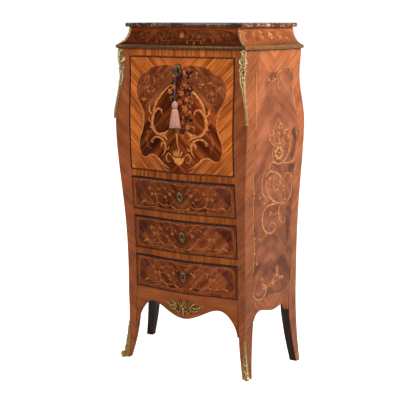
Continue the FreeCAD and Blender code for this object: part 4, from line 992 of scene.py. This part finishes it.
# The middle of the fall: a basket, and flowers and sprigs by x, z, size and finish
BASKET = [(-24, 808), (-17, 790), (-6, 779), (6, 777), (18, 786), (26, 808), (12, 802), (0, 806), (-10, 802)]
BOUQUET = (
    (8, 1098, 15, "black"), (46, 1108, 20, "black"), (26, 1072, 13, "red"), (50, 1046, 17, "black"),
    (14, 1040, 12, "dull"), (36, 1018, 12, "red"), (-20, 1062, 12, "red"), (56, 1010, 11, "green"),
    (8, 1008, 12, "red"), (30, 984, 13, "dull"), (50, 972, 10, "red"), (12, 968, 11, "green"),
    (38, 946, 13, "black"), (20, 934, 11, "red"), (42, 918, 11, "dull"), (26, 902, 13, "black"),
    (10, 918, 10, "red"), (-28, 1022, 11, "green"), (-34, 1046, 11, "light"),
)
SPRIG_TURNS = (0.6, 2.3, 4.0)
BASKET_TIPS = ((-20, 832), (-6, 838), (8, 840), (22, 830))
LOOSE_LEAVES = 110
LOOSE_ACROSS = (-30.0, 64.0)
LOOSE_LEVELS = (896.0, 1110.0)
LOOSE_SIZES = (11.0, 24.0)
LOOSE_FINISHES = ("black", "red", "rose", "dull", "rose", "black", "umber")
FALL_INSET = (2.2, 3.0)
# Black lines round the fall: dark joints, partly painted shadow at its edges
FALL_BAND = (4.0, 4.0, 4.0, 4.0)


def fall_marquetry():
    drawing = Drawing(("fall_panel",), rise=FALL_RISE)
    drawing.area(whole(FALL_RESERVE, head=1121, foot=745), "reserve")
    drawing.draw([(FALL_LOBE, "lobe")], FALL_LINES, FALL_CURLS, FALL_LEAVES, FALL_SPRAYS, FALL_FLOWERS)
    drawing.ribbon([(-4, 918), (-4, 890), (-2, 862), (3, 836)], [11.0, 9.0, 5.5, 2.0])
    drawing.area(BASKET, "light", LINE_LIFT, 8.0)
    for tip in BASKET_TIPS:
        drawing.leaf((tip[0] * 0.4, 806), tip, 9.0, "light", 0.1)
    for number, (x, z, size, finish) in enumerate(BOUQUET):
        if finish in ("black", "green"):
            for turn in SPRIG_TURNS:
                drawing.leaf((x, z), about((x, z), size, turn), size * 0.6, finish)
        else:
            heart = "light" if finish == "red" else "red"
            drawing.flower((x, z), size, finish, heart, 5 + number % 3, 0.4 * number)
    for number in range(LOOSE_LEAVES):
        x, z = rng.uniform(*LOOSE_ACROSS), rng.uniform(*LOOSE_LEVELS)
        turn, size = rng.uniform(0.0, 6.28), rng.uniform(*LOOSE_SIZES)
        # Only those that start inside the bouquet's rounded outline are laid
        if -8.0 - 0.14 * (1110.0 - z) < x < 72.0 - 0.0016 * (z - 1010.0) ** 2:
            finish = LOOSE_FINISHES[number % len(LOOSE_FINISHES)]
            drawing.leaf((x, z), about((x, z), size, turn), size * 0.5, finish, 0.2, LINE_LIFT)
    (left, foot), (right, head) = flat_box("fall_panel")
    low = (left + FALL_INSET[0], foot + FALL_INSET[1] - FALL_RISE)
    high = (right - FALL_INSET[0], head - FALL_INSET[1] - FALL_RISE)
    drawing.band(low, high, FALL_BAND)
    drawing.shape.make("fall_marquetry", "fall", "marquetry_front", INLAY_THICKNESS)


# The right half of a drawer's drawing, with z measured from the drawer's middle
DRAWER_FIELD = [
    (60, 52), (118, 48), (160, 53), (196, 48), (207, 26), (204, 0), (208, -26), (197, -49), (160, -53),
    (118, -48), (60, -53)]
DRAWER_CORNER = [(140, 43), (168, 46), (194, 36), (201, 6), (197, -18), (182, -6), (168, 16)]
DRAWER_LINES = (
    ([(26, -14), (46, -34), (76, -38), (104, -24), (106, -2), (88, 6), (76, -6)],
     [1.0, 2.0, 2.8, 2.6, 2.2, 1.5]),
    ([(100, -30), (128, -38), (156, -30), (172, -14)], [2.2, 2.0, 1.2]),
)
DRAWER_LEAVES = (((156, -30), (182, -40), 8.0, "dull", 0.15), ((40, -34), (20, -44), 7.0, "dull", 0.15))
DRAWER_SPRAYS = (
    ([(24, 14), (48, 30), (82, 30), (112, 16), (138, 22)], 11.0, ("dull", "red", "umber"), 1.2, "dull", 7.5),
    ([(70, -38), (58, -20), (66, -4)], 10.0, ("red", "dull"), 1.2, "dull", 8.0),
    ([(128, -38), (138, -18), (128, 0)], 11.0, ("dull", "umber", "red"), 1.2, "dull", 7.5),
    ([(100, -26), (112, -46)], 9.0, ("dull", "red"), 1.2, "dull"),
)
DRAWER_FLOWERS = (
    ((96, 22), 7.5, "red", "dull", 5), ((44, 8), 8.0, "dull", "red", 5), ((112, 2), 7.5, "dull", "red", 5),
)
# Black lines at a drawer's left, right, top and foot: dark joints; the thick top one is painted shadow
DRAWER_BAND = (1.8, 2.4, 7.0, 2.4)


def drawer_marquetry(number, level):
    drawing = Drawing((f"drawer_{number}_front",))
    field = whole(DRAWER_FIELD, head=45, foot=-45, level=level)
    drawing.area(field, "drawer")
    drawing.ribbon(field, [1.5, 1.5], "dull", closed=True)
    drawing.draw([(DRAWER_CORNER, "corner")], DRAWER_LINES, (), DRAWER_LEAVES, DRAWER_SPRAYS, DRAWER_FLOWERS,
                 line="dull", level=level)
    (left, foot), (right, head) = flat_box(f"drawer_{number}_front")
    # Black lines round the drawer: dark joints, with a painted shadow along the top
    drawing.band((left + 1.8, foot + 2.0), (right - 1.8, head - 2.5), DRAWER_BAND, drop=1.2)
    drawing.shape.make(f"drawer_{number}_marquetry", f"drawer_{number}", "marquetry_front", INLAY_THICKNESS)


# The drawing on each side, in (y, z)
SIDE_FIELD = [
    (-66, 1128), (-19, 1127), (38, 1124), (62, 1130), (88, 1137), (120, 1143), (140, 1138), (150, 1118),
    (147, 1092), (140, 1066), (139, 1030), (142, 1004), (150, 964), (156, 930), (158, 890), (153, 850),
    (151, 796), (146, 760), (143, 721), (148, 670), (146, 611), (150, 570), (146, 528), (152, 480),
    (158, 443), (160, 400), (156, 350), (150, 322), (117, 299), (82, 293), (40, 299), (10, 290), (-20, 280),
    (-48, 296), (-57, 330), (-58, 395), (-60, 438), (-57, 480), (-66, 547), (-75, 644), (-89, 750),
    (-99, 855), (-95, 926), (-88, 981), (-71, 1055)]
SIDE_DARKS = (
    [(74, 414), (106, 434), (134, 396), (157, 350), (150, 322), (118, 300), (99, 316), (90, 366)],
    [(108, 905), (121, 880), (119, 842), (108, 806), (128, 804), (140, 840), (142, 880), (128, 918)],
    [(110, 780), (140, 778), (137, 752), (120, 744), (106, 758)],
    [(112, 620), (140, 612), (142, 560), (134, 500), (122, 470), (122, 530), (114, 580)],
)
SIDE_LINES = (
    ([(-62, 1122), (-71, 1055), (-88, 981), (-94, 926)], [2.0, 3.0, 3.0, 2.0]),
    ([(-99, 850), (-90, 750), (-76, 644), (-66, 547), (-57, 480), (-60, 438), (-58, 395)],
     [1.0, 2.0, 2.0, 2.0, 2.5, 1.5]),
    ([(84, 1132), (66, 1126), (50, 1112), (54, 1096), (70, 1094), (76, 1106), (68, 1111)],
     [2.0, 3.5, 4.0, 4.0, 3.0, 2.0, 1.5]),
    ([(88, 1134), (112, 1140), (130, 1136), (136, 1124), (126, 1118)], [2.0, 3.5, 4.0, 3.0, 1.5]),
    ([(148, 1095), (139, 1069), (139, 1036), (140, 1006), (146, 963), (154, 904)],
     [2.0, 4.0, 4.5, 4.0, 3.0, 1.5]),
    ([(140, 1012), (133, 1000), (136, 990), (144, 990)], [1.5, 3.0, 3.0, 1.5]),
    ([(101, 890), (104, 866), (100, 834), (82, 803), (44, 790), (13, 805), (4, 834), (10, 850)],
     [2.0, 5.0, 7.0, 7.0, 6.0, 4.5, 4.0, 2.0]),
    ([(24, 794), (6, 800), (-8, 790), (-8, 774), (6, 768), (16, 778), (8, 786)],
     [3.0, 4.5, 4.5, 4.5, 3.5, 2.5, 1.5]),
    ([(148, 862), (151, 830), (146, 806), (128, 792), (101, 789), (70, 792)], [1.5, 3.0, 4.0, 4.5, 4.0, 2.0]),
    ([(-34, 768), (-42, 744), (-42, 716), (-31, 685), (4, 653)], [2.0, 4.0, 4.5, 4.0, 2.0]),
    ([(-18, 735), (-14, 705), (-2, 680), (29, 653), (73, 637), (117, 634)], [2.5, 5.0, 6.5, 7.0, 6.0, 3.0]),
    ([(-26, 748), (-14, 760), (10, 764), (41, 754), (66, 736), (68, 716), (50, 708), (38, 720)],
     [3.0, 5.0, 5.5, 5.5, 5.0, 4.5, 4.0, 2.0]),
    ([(30, 744), (22, 722), (26, 700), (46, 682)], [2.0, 4.0, 5.0, 2.0]),
    ([(126, 748), (136, 716), (138, 690), (130, 656), (104, 634)], [2.0, 4.0, 4.5, 4.0, 2.5]),
    ([(84, 724), (88, 740), (104, 750), (124, 744)], [2.0, 3.5, 4.0, 2.0]),
    ([(122, 632), (96, 637), (64, 640), (14, 640), (-12, 629), (-26, 610)], [2.0, 5.0, 6.5, 6.5, 5.0, 2.0]),
    ([(74, 634), (66, 610), (72, 582), (92, 560), (108, 562), (108, 576)], [3.0, 4.5, 4.5, 4.0, 3.0, 2.0]),
    ([(-22, 616), (-24, 590), (-20, 566), (-5, 543), (24, 530), (48, 538), (53, 556), (40, 570), (24, 566),
      (26, 556)], [3.0, 5.0, 6.0, 6.5, 6.5, 5.5, 4.5, 4.0, 3.0, 2.0]),
    ([(-48, 340), (-56, 318), (-50, 298), (-30, 286), (-8, 288), (8, 305), (8, 326), (-6, 334)],
     [2.0, 4.0, 5.0, 5.0, 4.5, 4.5, 4.0, 2.0]),
    ([(-44, 320), (-36, 306), (-24, 312), (-30, 322)], [2.0, 3.0, 2.5, 1.5]),
)
SIDE_SPRAYS = (
    ([(48, 1100), (21, 1093), (4, 1098)], 11.0, 6.0), ([(60, 1092), (58, 1080), (56, 1066)], 10.0, 7.0),
    ([(38, 856), (36, 890), (39, 930)], 17.0, 13.0), ([(30, 858), (10, 884), (4, 910)], 15.0, 10.0),
    ([(46, 858), (66, 882), (76, 908)], 15.0, 10.0), ([(20, 852), (-6, 872), (-16, 896)], 13.0, 8.0),
    ([(58, 852), (76, 862), (88, 886)], 13.0, 8.0), ([(40, 690), (58, 704), (62, 722)], 12.0, 6.0),
    ([(-4, 690), (4, 716), (2, 740)], 12.0, 6.0), ([(96, 642), (100, 670), (88, 700)], 13.0, 8.0),
    ([(-8, 644), (-30, 652), (-46, 672)], 11.0, 6.0), ([(62, 604), (40, 598), (20, 608)], 11.0, 6.0),
    ([(70, 608), (80, 598), (84, 584)], 10.0, 7.0), ([(10, 536), (-8, 520), (-30, 516)], 11.0, 5.0),
    ([(-70, 570), (-64, 540), (-62, 508)], 10.0, 5.0), ([(-58, 476), (-44, 452), (-42, 425)], 10.0, 5.0),
    ([(-84, 720), (-78, 690), (-82, 664)], 10.0, 5.0),
    ([(4, 334), (30, 330), (48, 342), (60, 366), (72, 388)], 15.0, 10.0),
    ([(40, 336), (70, 340), (99, 348)], 13.0, 10.0), ([(-4, 332), (-14, 346), (-12, 364)], 11.0, 8.0),
)
SIDE_FINISHES = (("pale", "dull", "green"), ("pale", "red", "dull"))
SIDE_ROSE = (((41, 830), 29.0, "pale", "dull", 8), ((41, 830), 16.0, "dull", "pale", 6, 0.8))
SIDE_FLOWERS = (
    (12, 866, 10), (64, 866, 11), (34, 872, 10), (48, 342, 10), (72, 362, 9), (32, 332, 9), (-2, 331, 11),
)


def side_drawing(sign, *names):
    """A drawing on one side of the cabinet; its flat places are (y, z)."""
    return Drawing(names, (-sign, 0.0, 0.0), (0.0, 1.0, 0.0))


def side_marquetry(sign, name):
    drawing = side_drawing(sign, f"side_panel_{name}", f"rear_post_{name}", f"front_post_{name}")
    drawing.area(SIDE_FIELD, "side_field")
    sprays = [(points, leaf, SIDE_FINISHES[number % 2], 1.6, "pale", bloom)
              for number, (points, leaf, bloom) in enumerate(SIDE_SPRAYS)]
    flowers = [((y, z), radius, "pale", "red") for y, z, radius in SIDE_FLOWERS]
    darks = [(outline, "side_dark") for outline in SIDE_DARKS]
    drawing.draw(darks, SIDE_LINES, sprays=sprays, flowers=[*SIDE_ROSE, *flowers], line="pale", halves=(1,))
    drawing.shape.make(f"side_marquetry_{name}", "carcass", "marquetry_side", INLAY_THICKNESS)


# The right half of the drawing on the front of the frieze, and the whole field on its sides
FRIEZE_FIELD = [(60, 1274), (130, 1276), (190, 1270), (206, 1252), (196, 1236), (120, 1231), (60, 1233)]
FRIEZE_SPRAYS = (
    ([(24, 1240), (60, 1236), (100, 1240)], 15.0, ("umber", "rose"), 1.6, "umber"),
    ([(14, 1252), (50, 1264), (90, 1246), (130, 1260)], 17.0, ("umber", "rose", "umber"), 1.8, "umber", 10.0),
    ([(120, 1246), (150, 1244), (180, 1258)], 16.0, ("umber", "rose", "umber"), 1.6, "umber", 8.0),
)
FRIEZE_SIDE_FIELD = [
    (-84, 1232), (-30, 1236), (10, 1230), (60, 1234), (110, 1230), (164, 1236), (172, 1254), (160, 1270),
    (110, 1274), (60, 1270), (10, 1275), (-40, 1270), (-84, 1272), (-92, 1252)]
FRIEZE_SIDE_SPRAYS = (
    ([(12, 1252), (40, 1264), (66, 1246), (104, 1258)],
     16.0, ("dull", "red", "pale", "red"), 2.0, "red", 9.0),
    ([(20, 1240), (56, 1238), (96, 1244)], 14.0, ("red", "dull"), 1.8, "red"),
)
FRIEZE_SIDE_MIDDLE = 46


def frieze_marquetry():
    drawing = Drawing(("frieze_front",))
    drawing.area(whole(FRIEZE_FIELD, head=1276, foot=1231), "frieze_field")
    drawing.flower((4, 1255), 11.0, "dull", "red")
    drawing.draw(sprays=FRIEZE_SPRAYS, flowers=[((72, 1252), 9.0, "umber", "rose", 5)])
    drawing.shape.make("frieze_marquetry_front", "carcass", "marquetry_front", INLAY_THICKNESS)
    for sign, name in SIDES:
        drawing = side_drawing(sign, f"frieze_{name}")
        drawing.area(FRIEZE_SIDE_FIELD, "frieze_side_field")
        drawing.flower((FRIEZE_SIDE_MIDDLE, 1254), 13.0, "pale", "red")
        drawing.draw(sprays=FRIEZE_SIDE_SPRAYS, flowers=[((50, 1250), 9.0, "pale", "red", 5)],
                     middle=FRIEZE_SIDE_MIDDLE)
        drawing.shape.make(f"frieze_marquetry_{name}", "carcass", "marquetry_side", INLAY_THICKNESS)


# Relief on the mounts. Leaves to the right of a corner's middle: the base and tip, width, height and bend
MOUNT_LEAVES = (
    ((1.0, 1174), (10.0, 1204), 10.0, 4.5, 0.1), ((2.0, 1152), (11.0, 1176), 9.0, 4.5, -0.15),
    ((3.0, 1106), (10.0, 1130), 8.0, 4.0, 0.15), ((1.0, 1064), (7.0, 1082), 6.0, 3.0, 0.0),
)
SABOT_LEAVES = (
    ((3.0, 8), (9.0, 36), 8.0, 2.5, 0.1), ((2.0, 34), (7.0, 64), 7.0, 2.5, 0.1),
    ((1.0, 62), (5.0, 90), 6.0, 2.0, 0.1),
)
MOUNT_SCROLL = ((6.0, 1120), (8.0, 1102), (6.0, 1084), (2.0, 1070))
MOUNT_STEM = ((0.0, 1100), (0.0, 1050), (0.0, 1000), (0.0, 953))
# Levels of husks with their lengths
MOUNT_HUSKS = ((1090, 28), (1064, 28), (1038, 26), (1014, 24), (992, 22), (972, 18))
COVE_HUSKS = ((1223, 18), (1239, 16), (1253, 15), (1266, 14))
CORNER_LOOK = math.sqrt(0.5)
PLATE_LEAVES = 14
PLATE_EDGE = 1.5
SHELL_ANGLES = (-66, -40, -13, 13, 40, 66)


class CornerDrawing(Drawing):
    """A drawing that looks squarely at a front corner; u grows from the front face to the side face.

    Its places are measured from the middle of the first of its pieces, which is found at the given levels.
    """

    def __init__(self, sign, names, levels):
        look, across = (-sign * CORNER_LOOK, CORNER_LOOK, 0.0), (sign * CORNER_LOOK, CORNER_LOOK, 0.0)
        # The relief is cast in the gilt with the painted highlight
        super().__init__(names, look, across, cast="gilt_bright")
        finder = Drawing(names[:1], look, across)
        self.middles = {}
        for z in levels:
            # Half millimetres, from well outside the corner on one side to well outside it on the other
            hits = [u / 2.0 for u in range(-80, 500) if finder.hit(u / 2.0, z)]
            self.middles[z] = (hits[0] + hits[-1]) / 2.0

    def at(self, u, z):
        return (self.middles[min(self.middles, key=lambda level: abs(level - z))] + u, z)

    def pairs(self, leaves):
        """Cast leaves on both sides of the middle."""
        for side in (1.0, -1.0):
            for (u, z), (tip_u, tip_z), width, height, bend in leaves:
                self.boss(self.at(side * u, z), self.at(side * tip_u, tip_z), width, height, bend=side * bend)

    def upright(self, foot, head, width, height, **more):
        """A cast leaf on the middle."""
        self.boss(self.at(0.0, foot), self.at(0.0, head), width, height, **more)


def corner_mount_leaves(sign, name):
    """Leaves, scrolls and husks cast on a long corner mount."""
    node = f"corner_mount_{name}"
    drawing = CornerDrawing(sign, (node, f"front_post_{name}"), range(948, 1205, 6))
    drawing.pairs(MOUNT_LEAVES)
    for side in (1.0, -1.0):
        drawing.cast_curl(drawing.at(5.0 * side, 1135), 6.5, 90.0, -0.9 * side, 1.8, 4.5)
        drawing.cast_line([drawing.at(side * u, z) for u, z in MOUNT_SCROLL], [0.8, 1.9, 1.8, 0.8], 4.0)
    drawing.upright(1142, 1205, 11.0, 7.0, lobes=5)
    drawing.upright(1150, 1092, 9.0, 6.0)
    drawing.bead(drawing.at(0.0, 1146), 4.0, 7.0)
    drawing.cast_line([drawing.at(u, z) for u, z in MOUNT_STEM], [3.6, 3.2, 2.6, 2.0, 1.2], 3.0)
    for z, length in MOUNT_HUSKS:
        drawing.upright(z, z - length, 3.0 + 0.18 * (z - 950) ** 0.7, 3.5, lobes=2, rib=0.3)
    drawing.shape.make(f"{node}_leaves", "carcass", "gilt_bronze")


def cove_leaves(sign, name):
    """Leaves on the mount at a corner of the hollow cornice."""
    drawing = CornerDrawing(sign, ("cove_mounts",), range(1224, 1284, 4))
    for foot, length in COVE_HUSKS:
        drawing.upright(foot, foot + length, 4.5, 2.5, lobes=2)
    drawing.shape.make(f"cove_mount_{name}_leaves", "carcass", "gilt_bronze")


def sabot_leaves(sign, name):
    """Leaves cast on the gilt shoe of a front leg."""
    drawing = CornerDrawing(sign, ("sabots",), range(3, 141, 4))
    drawing.pairs(SABOT_LEAVES)
    drawing.bead(drawing.at(0.0, 12), 7.0, 3.5)
    drawing.upright(24, 66, 11.0, 4.0)
    drawing.upright(58, 104, 8.0, 3.5)
    drawing.upright(98, 139, 4.5, 2.5)
    drawing.shape.make(f"sabot_{name}_leaves", "carcass", "gilt_bronze")


def apron_leaves():
    """The apron's mount: a shell between scrolls, with a spray of leaves to each side and one below."""
    drawing = Drawing(("apron",), cast="gilt_plate")
    (_, foot), (reach, head) = flat_box("apron_mount")
    middle = (foot + head) / 2.0
    shell = (0.0, middle - 2.0)
    for angle in SHELL_ANGLES:
        turn = math.radians(90.0 + angle)
        drawing.boss(shell, (24.0 * math.cos(turn), shell[1] + 28.0 * math.sin(turn)), 10.0, 6.5, lobes=1)
    drawing.bead((0.0, middle - 4.0), 6.5, 8.0)
    drawing.boss((0.0, middle - 8.0), (0.0, foot + 1.0), 18.0, 6.5)
    # Leaves on the right: the base and tip from the middle, the width, the height and the bend
    leaves = (
        ((28.0, -4.0), (reach - 26.0, 24.0), 17.0, 6.5, 0.14),
        ((36.0, 2.0), (reach - 1.0, 17.0), 15.0, 6.0, -0.12),
        ((32.0, -8.0), (reach - 14.0, -1.0), 13.0, 6.0, -0.12),
        ((10.0, -10.0), (22.0, foot + 5.0 - middle), 12.0, 6.0, 0.0),
    )
    scroll = ((8.0, -16.0), (22.0, -18.0), (34.0, -8.0), (30.0, 6.0), (20.0, 2.0))
    for side in (1.0, -1.0):
        def at(u, z):
            return (side * u, middle + z)

        drawing.cast_line([at(u, z) for u, z in scroll], [1.5, 3.2, 4.0, 3.2, 2.0], 7.0)
        for base, tip, width, height, bend in leaves:
            drawing.boss(at(*base), at(*tip), width, height, bend=side * bend)
        drawing.cast_curl((side * 17.0, head - 12.0), 8.0, 90.0, 0.9 * side, 2.4, 6.0)
        drawing.cast_curl(at(reach - 26.0, 6.0), 7.0, 180.0, -0.9 * side, 2.0, 6.0)
    drawing.shape.make("apron_mount_leaves", "carcass", "gilt_bronze", replaces=("apron_mount",))


def escutcheon_leaves(node, body, level):
    """A ring of cast leaves and scrolls on one key plate, clear of the keyhole."""
    drawing = Drawing((node,), cast="gilt_plate")
    (_, foot), (right, head) = flat_box(node)
    across, tall = right - PLATE_EDGE, (head - foot) / 2.0 - PLATE_EDGE
    for k in range(PLATE_LEAVES):
        angle = TURN * (k + 0.5) / PLATE_LEAVES
        way = Vector((math.cos(angle), math.sin(angle))) * (1.0 if k % 2 else 0.84)
        base = (0.6 * across * way.x, level + 0.62 * tall * way.y)
        drawing.boss(base, (across * way.x, level + tall * way.y), 6.0, 3.0, lobes=1, bend=0.2)
    rim = [(0.6 * across * math.cos(a), level + 0.64 * tall * math.sin(a)) for a in circle(20, 1)]
    drawing.cast_line(rim, [0.9, 0.9], 2.2)
    drawing.shape.make(f"{node}_leaves", body, "gilt_bronze")


def leather_tooling():
    """Gilt lines tooled round the writing leather on the inside of the fall."""
    drawing = Drawing(("writing_leather",), (0.0, -1.0, 0.0))
    (_, foot), (right, head) = flat_box("writing_leather")
    for inset, width in ((10.0, 2.6), (16.0, 1.0)):
        x = right - inset
        drawing.band((-x, foot + inset), (x, head - inset), (width,) * 4, "gilt", step=20.0)
    drawing.shape.make("leather_tooling", "fall", "gilt_bronze", TOOLING_THICKNESS)


make_camera()
make_studio()
dress_nodes()
make_cord()
fall_marquetry()
for number, level in DRAWER_LEVELS.items():
    drawer_marquetry(number, level)
    escutcheon_leaves(f"drawer_{number}_escutcheon", f"drawer_{number}", level)
escutcheon_leaves("fall_escutcheon", "fall", FALL_LEVEL)
for sign, name in SIDES:
    side_marquetry(sign, name)
frieze_marquetry()
for sign, name in SIDES:
    corner_mount_leaves(sign, name)
for sign, name in SIDES:
    cove_leaves(sign, name)
apron_leaves()
for sign, name in SIDES:
    sabot_leaves(sign, name)
leather_tooling()
